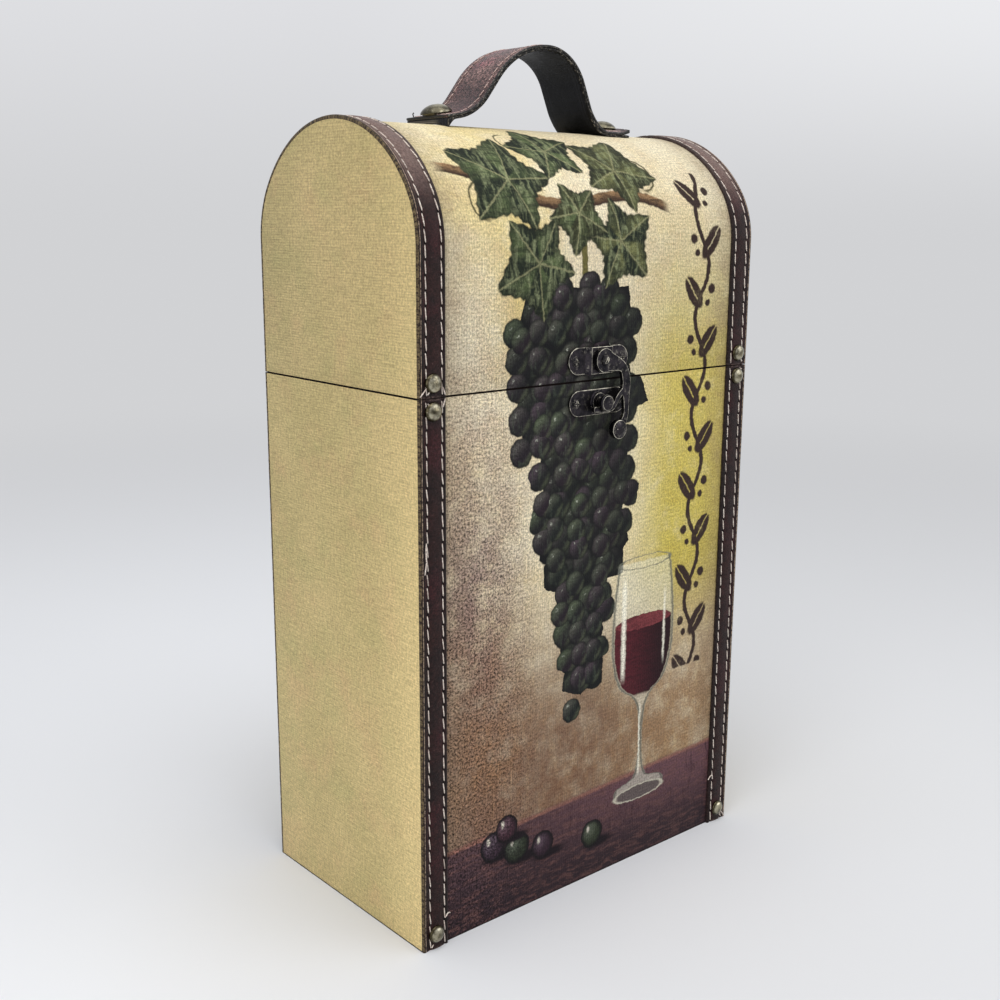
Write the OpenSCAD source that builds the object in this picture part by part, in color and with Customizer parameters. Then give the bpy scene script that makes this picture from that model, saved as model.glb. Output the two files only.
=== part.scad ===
// Upright two-bottle carrying box with an arched, hinged lid.
// Fibreboard walls wrapped in cloth and printed canvas, stitched trims held by
// dome nails, a swinging hook latch in front, two butt hinges behind, and a
// two-layer strap handle riveted to the crown of the lid.
// The origin is the middle of the base; +Z is up and the latched front faces -Y.

/* [Box] */
// Width over the cloth of both ends
box_w = 200; // [180:1:220]
// Depth over the cloth of front and back
box_d = 114; // [108:1:130]
// Height of the body, up to its rim
body_h = 240; // [200:1:280]
// Thickness of the fibreboard walls
board_t = 5.4; // [4:0.2:7]
// Thickness of the cloth and canvas that wrap the boards
cloth_t = 0.6; // [0.4:0.1:1]
// Thickness of the lining inside
lining_t = 0.4; // [0.3:0.1:1]
// Thickness of the cover under the base
base_cover_t = 0.6; // [0.4:0.1:1.5]

/* [Bottle divider] */
// Thickness of the divider between the bottles
divider_t = 4; // [3:0.5:8]
// Height of the divider above the floor of the box
divider_h = 190; // [120:5:190]
// Width of the finger scoop in the divider's top edge
scoop_w = 46; // [30:1:60]
// Depth of the finger scoop
scoop_h = 14; // [8:1:15]

/* [Lid] */
// Gap between the rim of the body and the lid
lid_gap = 0.4; // [0.2:0.1:0.8]
// Height of the lid's straight walls, below the arch
lid_wall_h = 59; // [48:1:80]
// Rise of the arch above the straight walls
arch_rise = 49; // [46:1:56]
// Radius of the arch's two shoulders
shoulder_r = 40; // [34:1:43]

/* [Trims and nails] */
// Width of the stitched trims
trim_w = 13.5; // [11:0.5:18]
// Thickness of the trims
trim_t = 1.7; // [1:0.1:2.5]
// Radius of a nail's domed head
nail_r = 4; // [3:0.25:4.5]
// Height of a nail's domed head
nail_head_h = 2.2; // [1.5:0.1:3]
// Radius of a nail's shank
nail_shank_r = 0.6; // [0.4:0.1:1]
// Length of a nail's shank
nail_l = 5; // [3.5:0.5:5.5]
// Height of the lowest nails above the base
nail_low = 7; // [6:0.5:12]
// Distance of the body's upper nails below its rim
nail_below_rim = 5; // [5:0.5:12]
// Distance of the lid's nails above its lower edge
nail_above_rim = 5.8; // [5.5:0.5:12]

/* [Latch] */
// Sideways place of the latch's centre line
latch_x = -1.2; // [-10:0.2:10]
// Height of the hook's pivot above the rim of the body
pivot_up = 9.2; // [8.5:0.1:12]
// Distance of the stud below the rim of the body
stud_down = 9.3; // [8.5:0.1:12]
// Length of the plate on the lid
latch_plate_l = 36.4; // [33:0.2:44]
// Width of the plate on the lid
latch_plate_w = 11.8; // [10:0.2:13]
// Length of the plate on the body
catch_plate_l = 34.6; // [31:0.2:42]
// Width of the plate on the body
catch_plate_w = 11.5; // [10:0.1:12.5]
// Thickness of the plates' sheet metal
plate_t = 1; // [0.8:0.1:1.4]
// Rise of the bridge that carries the hook
bridge_rise = 2.2; // [2:0.1:3]
// Width of the top of the bridge
bridge_w = 12.6; // [11:0.2:15]
// Rise of the round boss that carries the stud
boss_rise = 1.2; // [1.2:0.1:1.8]
// Radius of the round boss at its foot
boss_r = 4.7; // [4:0.1:5]
// Distance of each screw from the end of its plate
screw_inset = 4.1; // [3.8:0.1:5]

/* [Hook] */
// Thickness of the hook
hook_t = 1.8; // [1.2:0.1:2.4]
// Radius of the eye round the pivot
eye_r = 5.3; // [4.5:0.1:6]
// Distance of the arm to the right of the pivot
arm_out = 13.4; // [12:0.1:16]
// Width of the arm
arm_w = 4.8; // [3.6:0.2:5.6]
// Width of the claw that passes under the stud
claw_w = 2.2; // [1.6:0.1:2.8]
// Angle that the claw reaches to the left of the stud
claw_reach = 14; // [8:1:20]
// Radius of the round finger grip
grip_r = 4.3; // [3.5:0.1:4.6]
// Distance of the finger grip below the stud
grip_down = 12.9; // [12:0.1:18]
// Running gap round the hook
hook_gap = 0.25; // [0.2:0.05:0.4]
// Radius of the pivot rivet's shank
pivot_r = 1.6; // [1.2:0.1:2.2]
// Radius of the pivot rivet's head
pivot_head_r = 2.5; // [2.3:0.1:3.5]
// Radius of the stud's neck
stud_neck_r = 1.9; // [1.4:0.1:2.2]
// Radius of the stud's head
stud_head_r = 3.8; // [3:0.1:3.9]
// Thickness of the stud's head
stud_head_h = 2; // [1.2:0.1:2.6]

/* [Screws] */
// Radius of a screw's head
screw_head_r = 2.3; // [1.9:0.1:2.6]
// Height of a screw's head
screw_head_h = 0.9; // [0.7:0.1:1.2]
// Radius of a screw's shank
screw_r = 1.1; // [0.8:0.1:1.4]
// Length of a screw's shank below its head
screw_l = 5; // [4:0.5:5.2]

/* [Hinges] */
// Distance of each hinge from the middle of the box
hinge_x = 55; // [40:1:62]
// Length of a hinge
hinge_l = 30; // [24:1:40]
// Height of a hinge leaf below or above the pin
leaf_h = 13; // [11:0.5:18]
// Thickness of a hinge leaf
leaf_t = 1.2; // [1:0.1:1.6]
// Radius of the hinge knuckles
knuckle_r = 2.6; // [2.4:0.1:3.2]
// Radius of the hinge pin
hinge_pin_r = 1.2; // [0.9:0.1:1.5]
// Gap between hinge parts that pass each other
hinge_gap = 0.3; // [0.2:0.05:0.4]

/* [Handle] */
// Sideways place of the handle's middle
handle_x = 5; // [-10:1:10]
// Distance between the handle's two rivets
rivet_pitch = 100.6; // [92:0.2:120]
// Width of the strap
strap_w = 28; // [20:1:30]
// Radius of the corners at the strap's ends
strap_corner_r = 3.5; // [1:0.5:6]
// Thickness of the outer leather of the strap
strap_t = 1.3; // [1:0.1:2]
// Thickness of the black backing of the strap
backing_t = 1.1; // [0.8:0.1:1.8]
// Height of the strap's crown above its feet
strap_rise = 34; // [30:0.5:40]
// Distance of the crown to the right of the handle's middle
crown_shift = 3; // [-6:0.5:6]
// Slope of the left foot, which the pull of the strap lifts off the lid
foot_lift = 9; // [0:1:12]
// Slope of the strap on the left
rise_angle = 52; // [45:1:58]
// Slope of the strap on the right
fall_angle = 67; // [58:1:70]
// Radius of the bend at the left foot
rise_bend_r = 9; // [6:0.5:18]
// Radius of the bend at the right foot
fall_bend_r = 14.5; // [8:0.5:16]
// Radius of a handle rivet's domed head
rivet_r = 7.2; // [5:0.1:7.5]
// Height of a handle rivet's domed head
rivet_head_h = 4.4; // [2.5:0.1:5]
// Radius of a handle rivet's shank
rivet_shank_r = 1.9; // [1.4:0.1:2.4]
// Radius of the washer inside the lid
washer_r = 5.2; // [4:0.1:7]
// Thickness of the washer inside the lid
washer_t = 0.8; // [0.6:0.1:1.5]

/* [Hidden] */
$fn = 96;

cloth_colour = "#CDBB86";
canvas_colour = "#E6D7A6";
board_colour = "#B08A5C";
lining_colour = "#3A2A28";
leather_colour = "#4A2F30";
backing_colour = "#1C1C20";
brass_colour = "#7A6E4C";
latch_colour = "#3A3835";

half_w = box_w / 2;
half_d = box_d / 2;
wall_t = cloth_t + board_t;
// A fixed part in its hole, all round
fit = 0.02;
// A turning part on its shaft, all round
running_fit = 0.05;

floor_z = base_cover_t + board_t;
lid_z = body_h + lid_gap;
spring_z = lid_z + lid_wall_h;
crown_z = spring_z + arch_rise;
// The arch has three centres: its crown runs on into both shoulders
crown_r = (pow(half_d, 2) + pow(arch_rise, 2) - 2 * half_d * shoulder_r)
    / (2 * (arch_rise - shoulder_r));
crown_cz = crown_z - crown_r;
crown_half_angle = atan2(half_d - shoulder_r, spring_z - crown_cz);

nail_x = half_w - trim_w / 2;
pivot_z = body_h + pivot_up;
stud_z = body_h - stud_down;
hook_reach = pivot_z - stud_z;
bridge_top = plate_t + bridge_rise;
hook_base = bridge_top + hook_gap;
hook_top = hook_base + hook_t;
grip_at = [arm_out - arm_w / 2 - 1.3, -hook_reach - grip_down];
boss_top = plate_t + boss_rise;

hinge_z = body_h + lid_gap / 2;
hinge_off = knuckle_r + hinge_gap;
knuckle_l = hinge_l / 5;
hinge_screw_x = hinge_l / 2 - 6;
hinge_screw_z = leaf_h - 4.5;

strap_all_t = strap_t + backing_t;
foot_z = crown_z + strap_all_t;
foot_l = 2 * rivet_r + 0.2;
strap_end = rivet_pitch / 2 + foot_l / 2;
rivet_tail_h = 0.8;
inside_crown_r = crown_r - wall_t - lining_t;
// A flat washer seats on its edge under the curved lining
washer_top_z = crown_cz + sqrt(pow(inside_crown_r, 2) - pow(washer_r, 2));

// ---- placing -------------------------------------------------------------

// Turns a flat outline of (Y, Z) into a solid from x0 to x1
module across(x0, x1) {
    translate([x0, 0, 0]) rotate([90, 0, 90]) linear_extrude(x1 - x0) children();
}

// Local x runs right, y up, and z out of the front face
module on_front() {
    translate([0, -half_d, 0]) rotate([90, 0, 0]) children();
}

// Local x runs left, y up, and z out of the back face
module on_back() {
    translate([0, half_d, 0]) rotate([90, 0, 180]) children();
}

module on_both_faces() {
    on_front() children();
    on_back() children();
}

module both_sides(offset_x) {
    for (side = [-1, 1]) translate([side * offset_x, 0, 0]) children();
}

// A box that is centred on X and runs from the named lows to the named highs
module slab(x, y, z) {
    translate([x[0], y[0], z[0]]) cube([x[1] - x[0], y[1] - y[0], z[1] - z[0]]);
}

// ---- outlines ------------------------------------------------------------

// Section of the lid: straight walls from low_z up and the arch over them,
// drawn so far inside the outer face of the cloth
module arch(inset, low_z = lid_z) {
    far = 3 * crown_r;
    translate([-(half_d - inset), low_z]) square([2 * (half_d - inset), spring_z - low_z]);
    for (side = [-1, 1])
        translate([side * (half_d - shoulder_r), spring_z]) circle(r = shoulder_r - inset);
    intersection() {
        translate([0, crown_cz]) circle(r = crown_r - inset);
        polygon([
            [0, crown_cz],
            [far * sin(crown_half_angle), crown_cz + far * cos(crown_half_angle)],
            [0, crown_cz + 2 * far],
            [-far * sin(crown_half_angle), crown_cz + far * cos(crown_half_angle)]
        ]);
    }
}

// A layer of the lid between two insets
module arch_layer(outer, inner, low_z = lid_z) {
    difference() {
        arch(outer, low_z);
        arch(inner, low_z - 1);
    }
}

// Plate outline with two round ends
module capsule(length, width) {
    square([length - width, width], center = true);
    for (side = [-1, 1]) translate([side * (length - width) / 2, 0]) circle(d = width);
}

// Smooth curve through knots, steps points to each stretch
function between(a, b, c, d, t) = (2 * b + (c - a) * t + (2 * a - 5 * b + 4 * c - d) * t * t
    + (3 * b - a - 3 * c + d) * t * t * t) / 2;
function smooth(knots, steps) = [
    for (i = [0 : len(knots) - 2], k = [0 : steps - 1])
        between(knots[max(i - 1, 0)], knots[i], knots[i + 1],
            knots[min(i + 2, len(knots) - 1)], k / steps),
    knots[len(knots) - 1]
];

// Unit vector to the left of a path at its point i
function left_of(path, i) = let(
    step = path[min(i + 1, len(path) - 1)] - path[max(i - 1, 0)],
    run = norm([step[0], step[1]])
) [-step[1], step[0]] / run;

// Outline of a stroke whose points are [x, y, half width]
function stroke(path) = [
    for (i = [0 : len(path) - 1])
        [path[i][0], path[i][1]] + path[i][2] * left_of(path, i),
    for (i = [len(path) - 1 : -1 : 0])
        [path[i][0], path[i][1]] - path[i][2] * left_of(path, i)
];

// ---- fasteners -----------------------------------------------------------

// Domed cap of the given radius and height
module dome(r, h) {
    ball_r = (r * r + h * h) / (2 * h);
    intersection() {
        translate([0, 0, h - ball_r]) sphere(r = ball_r);
        cylinder(r = r, h = h);
    }
}

module nail() {
    dome(nail_r, nail_head_h);
    translate([0, 0, -nail_l]) cylinder(r = nail_shank_r, h = nail_l + 0.1);
}

// Round-headed cross-slot screw, its head resting on z = 0
module screw() {
    slot_w = 0.5;
    slot_l = 1.3 * screw_head_r;
    slot_depth = 0.5 * screw_head_h;
    difference() {
        dome(screw_head_r, screw_head_h);
        for (turn = [0, 90])
            rotate(turn) translate([-slot_l / 2, -slot_w / 2, screw_head_h - slot_depth])
                cube([slot_l, slot_w, screw_head_h]);
    }
    translate([0, 0, -screw_l]) cylinder(r = screw_r, h = screw_l + 0.1);
}

// Hole for a shank of radius r that goes deep below z = 0
module shank_hole(r, depth) {
    translate([0, 0, -depth - fit]) cylinder(r = r + fit, h = depth + 4);
}

module body_nail_places() {
    on_both_faces() both_sides(nail_x)
        for (z = [nail_low, body_h - nail_below_rim]) translate([0, z, trim_t]) children();
}

module lid_nail_places() {
    on_both_faces() both_sides(nail_x) translate([0, lid_z + nail_above_rim, trim_t]) children();
}

module catch_screw_places() {
    on_front() translate([latch_x, stud_z, plate_t])
        both_sides(catch_plate_l / 2 - screw_inset) children();
}

module latch_screw_places() {
    on_front() translate([latch_x, pivot_z, plate_t])
        both_sides(latch_plate_l / 2 - screw_inset) children();
}

// up is -1 on the body's leaves and 1 on the lid's
module hinge_screw_places(up) {
    on_back() both_sides(hinge_x) both_sides(hinge_screw_x)
        translate([0, hinge_z + up * hinge_screw_z, leaf_t]) children();
}

module handle_rivet_places() {
    translate([handle_x, 0, foot_z]) both_sides(rivet_pitch / 2) children();
}

module body_holes() {
    body_nail_places() shank_hole(nail_shank_r, nail_l);
    catch_screw_places() shank_hole(screw_r, screw_l);
    hinge_screw_places(-1) shank_hole(screw_r, screw_l);
}

module lid_holes() {
    lid_nail_places() shank_hole(nail_shank_r, nail_l);
    latch_screw_places() shank_hole(screw_r, screw_l);
    hinge_screw_places(1) shank_hole(screw_r, screw_l);
}

module handle_holes() {
    handle_rivet_places()
        shank_hole(rivet_shank_r, foot_z - crown_z + 2 * wall_t);
}

// ---- body ----------------------------------------------------------------

module base_cover() {
    color(leather_colour)
        slab([-half_w, half_w], [-half_d, half_d], [0, base_cover_t]);
}

module bottom_board() {
    color(board_colour)
        slab([wall_t - half_w, half_w - wall_t], [wall_t - half_d, half_d - wall_t],
            [base_cover_t, floor_z]);
}

// Front board, the face side of the wall on the cloth's inner face
module body_long_board() {
    slab([cloth_t - half_w, half_w - cloth_t], [cloth_t - half_d, wall_t - half_d],
        [base_cover_t, body_h]);
}

module body_front_board() {
    color(board_colour) difference() {
        body_long_board();
        body_holes();
    }
}

module body_back_board() {
    color(board_colour) difference() {
        mirror([0, 1, 0]) body_long_board();
        body_holes();
    }
}

module body_end_board() {
    slab([cloth_t - half_w, wall_t - half_w], [wall_t - half_d, half_d - wall_t],
        [base_cover_t, body_h]);
}

module body_left_board() {
    color(board_colour) body_end_board();
}

module body_right_board() {
    color(board_colour) mirror([1, 0, 0]) body_end_board();
}

// Open-topped tray of lining on the floor and all four walls
module body_lining() {
    inset = wall_t + lining_t;
    color(lining_colour) difference() {
        slab([wall_t - half_w, half_w - wall_t], [wall_t - half_d, half_d - wall_t],
            [floor_z, body_h]);
        slab([inset - half_w, half_w - inset], [inset - half_d, half_d - inset],
            [floor_z + lining_t, body_h + 1]);
    }
}

module bottle_divider() {
    half = half_d - wall_t - lining_t - fit;
    top = floor_z + lining_t + divider_h;
    scoop_r = (pow(scoop_w / 2, 2) + pow(scoop_h, 2)) / (2 * scoop_h);
    color(lining_colour) across(-divider_t / 2, divider_t / 2) difference() {
        translate([-half, floor_z + lining_t]) square([2 * half, divider_h]);
        translate([0, top - scoop_h + scoop_r]) circle(r = scoop_r);
    }
}

module body_face_cloth() {
    slab([cloth_t - half_w, half_w - cloth_t], [-half_d, cloth_t - half_d],
        [base_cover_t, body_h]);
}

module body_front_canvas() {
    color(canvas_colour) difference() {
        body_face_cloth();
        body_holes();
    }
}

module body_back_cloth() {
    color(cloth_colour) difference() {
        mirror([0, 1, 0]) body_face_cloth();
        body_holes();
    }
}

module body_end_cloth() {
    slab([-half_w, cloth_t - half_w], [-half_d, half_d], [base_cover_t, body_h]);
}

module body_left_cloth() {
    color(cloth_colour) body_end_cloth();
}

module body_right_cloth() {
    color(cloth_colour) mirror([1, 0, 0]) body_end_cloth();
}

module body_trim() {
    slab([-half_w, trim_w - half_w], [-half_d - trim_t, -half_d], [base_cover_t, body_h]);
}

// flip mirrors the front left trim to another corner
module body_trim_at(flip_x, flip_y) {
    color(leather_colour) difference() {
        mirror([flip_x, 0, 0]) mirror([0, flip_y, 0]) body_trim();
        body_nail_places() shank_hole(nail_shank_r, nail_l);
    }
}

module body_trim_front_left() { body_trim_at(0, 0); }
module body_trim_front_right() { body_trim_at(1, 0); }
module body_trim_back_left() { body_trim_at(0, 1); }
module body_trim_back_right() { body_trim_at(1, 1); }

module body_trim_nails() {
    color(brass_colour) body_nail_places() nail();
}

// ---- latch ---------------------------------------------------------------

// Plate on the body, pressed up into a round boss under the stud
module catch_plate() {
    inside_r = boss_r - plate_t;
    color(latch_colour) on_front() translate([latch_x, stud_z, 0]) difference() {
        union() {
            linear_extrude(plate_t) capsule(catch_plate_l, catch_plate_w);
            cylinder(r1 = boss_r, r2 = boss_r - boss_rise / 2, h = boss_top);
        }
        translate([0, 0, -1]) cylinder(r = inside_r, h = 1 + boss_rise);
        cylinder(r = stud_neck_r + fit, h = boss_top + 1);
        both_sides(catch_plate_l / 2 - screw_inset) translate([0, 0, plate_t])
            shank_hole(screw_r, screw_l);
    }
}

// Mushroom stud, peened over under the boss
module catch_stud() {
    tail_h = 0.8;
    tail_r = stud_neck_r + 0.7;
    head_base = hook_top + hook_gap;
    head_edge = 0.6;
    color(latch_colour) on_front() translate([latch_x, stud_z, 0]) {
        translate([0, 0, boss_rise - tail_h]) cylinder(r = tail_r, h = tail_h);
        translate([0, 0, boss_rise - tail_h]) cylinder(r = stud_neck_r, h = head_base);
        translate([0, 0, head_base]) cylinder(r = stud_head_r, h = stud_head_h - head_edge);
        translate([0, 0, head_base + stud_head_h - head_edge])
            cylinder(r1 = stud_head_r, r2 = stud_head_r - head_edge, h = head_edge);
    }
}

module catch_screws() {
    color(latch_colour) catch_screw_places() screw();
}

// Plate on the lid, pressed up into a straight bridge that carries the hook
module latch_plate() {
    foot = bridge_w / 2 + bridge_rise;
    top = bridge_w / 2;
    half_l = latch_plate_l / 2;
    slope_in = plate_t / 2;
    color(latch_colour) on_front() translate([latch_x, pivot_z, 0]) difference() {
        intersection() {
            linear_extrude(bridge_top) capsule(latch_plate_l, latch_plate_w);
            rotate([90, 0, 0]) linear_extrude(latch_plate_w, center = true) polygon([
                [-half_l, 0], [slope_in - foot, 0], [slope_in - top, bridge_rise],
                [top - slope_in, bridge_rise], [foot - slope_in, 0], [half_l, 0],
                [half_l, plate_t], [foot, plate_t], [top, bridge_top],
                [-top, bridge_top], [-foot, plate_t], [-half_l, plate_t]
            ]);
        }
        cylinder(r = pivot_r + fit, h = bridge_top + 1);
        both_sides(half_l - screw_inset) translate([0, 0, plate_t])
            shank_hole(screw_r, screw_l);
    }
}

// Pivot of the hook, peened under the bridge and slotted on top
module latch_pivot_rivet() {
    tail_h = 0.8;
    head_h = 1.1;
    head_base = hook_top + hook_gap;
    slot_w = 0.6;
    color(latch_colour) on_front() translate([latch_x, pivot_z, 0]) difference() {
        union() {
            translate([0, 0, bridge_rise - tail_h])
                cylinder(r = pivot_head_r, h = tail_h);
            translate([0, 0, bridge_rise - tail_h])
                cylinder(r = pivot_r, h = head_base - bridge_rise + tail_h + 0.1);
            translate([0, 0, head_base]) dome(pivot_head_r, head_h);
        }
        rotate(60) translate([-pivot_head_r / 2, -slot_w / 2, head_base + head_h / 2])
            cube([pivot_head_r, slot_w, head_h]);
    }
}

module latch_screws() {
    color(latch_colour) latch_screw_places() screw();
}

// Outline of the hook about its pivot: an eye, an arm that swings out to the
// right and down to the finger grip, and a claw that passes under the stud's neck
module hook_outline() {
    steps = 8;
    half_arm = arm_w / 2;
    half_claw = claw_w / 2;
    // The claw runs round the pivot, so the hook swings clear of the stud
    claw_r = hook_reach + stud_neck_r + hook_gap + half_claw;
    arm_line = [
        [0, 0, eye_r - 0.3],
        [arm_out - 3, -3.2, half_arm],
        [arm_out, 0.45 - hook_reach / 2, half_arm],
        [arm_out, 4.5 - hook_reach, half_arm],
        [arm_out + 0.3, -hook_reach, 0.72 * half_arm],
        [arm_out + 0.2, 6.5 + grip_at[1], 0.62 * half_arm],
        [grip_at[0] + 1.6, grip_at[1] + 1.2, 0.9 * half_arm]
    ];
    claw_line = [
        [arm_out, 5.5 - hook_reach, 1.3 * half_claw],
        [arm_out - 4.4, 2.2 - hook_reach, 1.1 * half_claw],
        for (a = [14, 0, -claw_reach]) [claw_r * sin(a), -claw_r * cos(a), half_claw]
    ];
    tip_r = 1.1 * half_claw;
    circle(r = eye_r);
    polygon(stroke(smooth(arm_line, steps)));
    polygon(stroke(smooth(claw_line, steps)));
    rotate(-claw_reach) translate([0, half_claw - tip_r - claw_r]) circle(r = tip_r);
}

// Round finger grip, thicker than the arm, with a domed cap set just inside its rim
module hook_grip() {
    swell = 0.7;
    rim = 0.3;
    cap_r = grip_r - 0.25;
    translate([grip_at[0], grip_at[1], 0]) {
        translate([0, 0, -swell]) cylinder(r = grip_r, h = hook_t + swell + rim);
        translate([0, 0, hook_t + rim - 0.2]) dome(cap_r, swell + 0.2);
    }
}

module latch_hook() {
    color(latch_colour) on_front() translate([latch_x, pivot_z, hook_base]) difference() {
        union() {
            linear_extrude(hook_t) hook_outline();
            hook_grip();
        }
        translate([0, 0, -1]) cylinder(r = pivot_r + running_fit, h = hook_t + 2);
    }
}

// ---- hinges --------------------------------------------------------------

// One leaf about its pin, standing up from it; knuckles says which of the
// five knuckles it carries
module hinge_leaf(knuckles, bore_r) {
    clear = knuckle_r + hinge_gap;
    side_gap = hinge_gap / 2;
    difference() {
        union() {
            translate([-hinge_l / 2, clear, 0]) cube([hinge_l, leaf_h - clear, leaf_t]);
            for (k = knuckles) {
                low = k * knuckle_l - hinge_l / 2 + side_gap;
                long = knuckle_l - 2 * side_gap;
                translate([low, 0, 0]) cube([long, clear + 0.1, leaf_t]);
                translate([low, 0, hinge_off]) rotate([0, 90, 0])
                    cylinder(r = knuckle_r, h = long);
            }
        }
        translate([-hinge_l, 0, hinge_off]) rotate([0, 90, 0])
            cylinder(r = bore_r, h = 2 * hinge_l);
        both_sides(hinge_screw_x) translate([0, hinge_screw_z, leaf_t])
            shank_hole(screw_r, leaf_t);
    }
}

module hinge_body_leaves() {
    color(brass_colour) on_back() both_sides(hinge_x) translate([0, hinge_z, 0])
        mirror([0, 1, 0]) hinge_leaf([0, 2, 4], hinge_pin_r + fit);
}

module hinge_lid_leaves() {
    color(brass_colour) on_back() both_sides(hinge_x) translate([0, hinge_z, 0])
        hinge_leaf([1, 3], hinge_pin_r + running_fit);
}

// The pin's two ends are peened over the outer knuckles
module hinge_pins() {
    pin_head_r = 1.6 * hinge_pin_r;
    pin_head_h = 0.6;
    color(brass_colour) on_back() both_sides(hinge_x) translate([0, hinge_z, hinge_off])
        rotate([0, 90, 0]) {
            cylinder(r = hinge_pin_r, h = hinge_l, center = true);
            for (end = [0, 180])
                rotate([end, 0, 0]) translate([0, 0, hinge_l / 2 - hinge_gap / 2])
                    cylinder(r = pin_head_r, h = pin_head_h);
        }
}

module hinge_body_screws() {
    color(brass_colour) hinge_screw_places(-1) screw();
}

module hinge_lid_screws() {
    color(brass_colour) hinge_screw_places(1) screw();
}

// ---- lid -----------------------------------------------------------------

module lid_end_board() {
    across(cloth_t - half_w, wall_t - half_w) arch(wall_t);
}

module lid_left_board() {
    color(board_colour) lid_end_board();
}

module lid_right_board() {
    color(board_colour) mirror([1, 0, 0]) lid_end_board();
}

module lid_long_board() {
    slab([cloth_t - half_w, half_w - cloth_t], [cloth_t - half_d, wall_t - half_d],
        [lid_z, spring_z]);
}

module lid_front_board() {
    color(board_colour) difference() {
        lid_long_board();
        lid_holes();
    }
}

module lid_back_board() {
    color(board_colour) difference() {
        mirror([0, 1, 0]) lid_long_board();
        lid_holes();
    }
}

// Thin board bent over the two end boards, from spring line to spring line
module lid_dome_board() {
    color(board_colour) difference() {
        intersection() {
            across(cloth_t - half_w, half_w - cloth_t) arch_layer(cloth_t, wall_t);
            slab([-half_w, half_w], [-half_d, half_d], [spring_z, crown_z]);
        }
        handle_holes();
    }
}

// Lining on the inside of the lid: two ends and one sheet over the arch
module lid_lining() {
    color(lining_colour) difference() {
        across(wall_t - half_w, half_w - wall_t) arch(wall_t);
        across(wall_t + lining_t - half_w, half_w - wall_t - lining_t)
            arch(wall_t + lining_t, lid_z - 1);
        handle_holes();
    }
}

// One printed sheet over front, crown and back
module lid_canvas() {
    color(canvas_colour) difference() {
        across(cloth_t - half_w, half_w - cloth_t) arch_layer(0, cloth_t);
        lid_holes();
        handle_holes();
    }
}

module lid_end_cloth() {
    across(-half_w, cloth_t - half_w) arch(0);
}

module lid_left_cloth() {
    color(cloth_colour) lid_end_cloth();
}

module lid_right_cloth() {
    color(cloth_colour) mirror([1, 0, 0]) lid_end_cloth();
}

module lid_trim() {
    across(-half_w, trim_w - half_w) arch_layer(-trim_t, 0);
}

module lid_trim_left() {
    color(leather_colour) difference() {
        lid_trim();
        lid_nail_places() shank_hole(nail_shank_r, nail_l);
    }
}

module lid_trim_right() {
    color(leather_colour) difference() {
        mirror([1, 0, 0]) lid_trim();
        lid_nail_places() shank_hole(nail_shank_r, nail_l);
    }
}

module lid_trim_nails() {
    color(brass_colour) lid_nail_places() nail();
}

// ---- handle --------------------------------------------------------------

// Radius of the crown's arc on one side, so that it runs tangent into a
// straight slope, that into the bend and the bend into the foot
function crown_arc(run, lift, slope, bend_r) = let(
    x = run - foot_l * cos(lift) - bend_r * (sin(slope) - sin(lift)),
    z = strap_rise - foot_l * sin(lift) - bend_r * (cos(lift) - cos(slope))
) (x - z / tan(slope)) / tan(slope / 2);

// Top face of one side of the strap, from the end of its foot to the crown
// at x = 0, as [x, z, heading]
function strap_side(run, lift, slope, bend_r) = let(
    step = 6,
    crown_arc_r = crown_arc(run, lift, slope, bend_r),
    bend_x = foot_l * cos(lift) - bend_r * sin(lift) - run,
    bend_z = foot_l * sin(lift) + bend_r * cos(lift)
) [
    [-run, 0, lift],
    for (a = [lift : step : slope - 1]) [bend_x + bend_r * sin(a), bend_z - bend_r * cos(a), a],
    [bend_x + bend_r * sin(slope), bend_z - bend_r * cos(slope), slope],
    for (a = [slope : -step : 1]) [-crown_arc_r * sin(a), strap_rise - crown_arc_r * (1 - cos(a)), a]
];

// Top face of the strap from foot to foot
function strap_path() = let(
    left = strap_side(strap_end + crown_shift, foot_lift, rise_angle, rise_bend_r),
    right = strap_side(strap_end - crown_shift, 0, fall_angle, fall_bend_r)
) [
    for (p = left) [crown_shift + p[0], p[1], p[2]],
    [crown_shift, strap_rise, 0],
    for (i = [len(right) - 1 : -1 : 0])
        [crown_shift - right[i][0], right[i][1], -right[i][2]]
];

// What is cut away to round the corners at both ends
module strap_corners() {
    cut_h = 4 * strap_all_t;
    for (x = [0, 1], y = [0, 1]) mirror([x, 0, 0]) mirror([0, y, 0])
        translate([strap_end - strap_corner_r, strap_w / 2 - strap_corner_r, -cut_h / 2])
            difference() {
                cube([strap_corner_r + 1, strap_corner_r + 1, cut_h]);
                translate([0, 0, -1]) cylinder(r = strap_corner_r, h = cut_h + 2);
            }
}

// Layer of the strap between two depths below its top face
module strap_layer(above, below) {
    path = strap_path();
    last = len(path) - 1;
    outline = [
        for (i = [0 : last])
            [path[i][0] + above * sin(path[i][2]), path[i][1] - above * cos(path[i][2])],
        for (i = [last : -1 : 0])
            [path[i][0] + below * sin(path[i][2]), path[i][1] - below * cos(path[i][2])]
    ];
    difference() {
        translate([handle_x, 0, foot_z]) difference() {
            rotate([90, 0, 0]) linear_extrude(strap_w, center = true) polygon(outline);
            strap_corners();
        }
        handle_holes();
    }
}

module handle_strap() {
    color(leather_colour) strap_layer(0, strap_t);
}

module handle_backing() {
    color(backing_colour) strap_layer(strap_t, strap_all_t);
}

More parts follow.
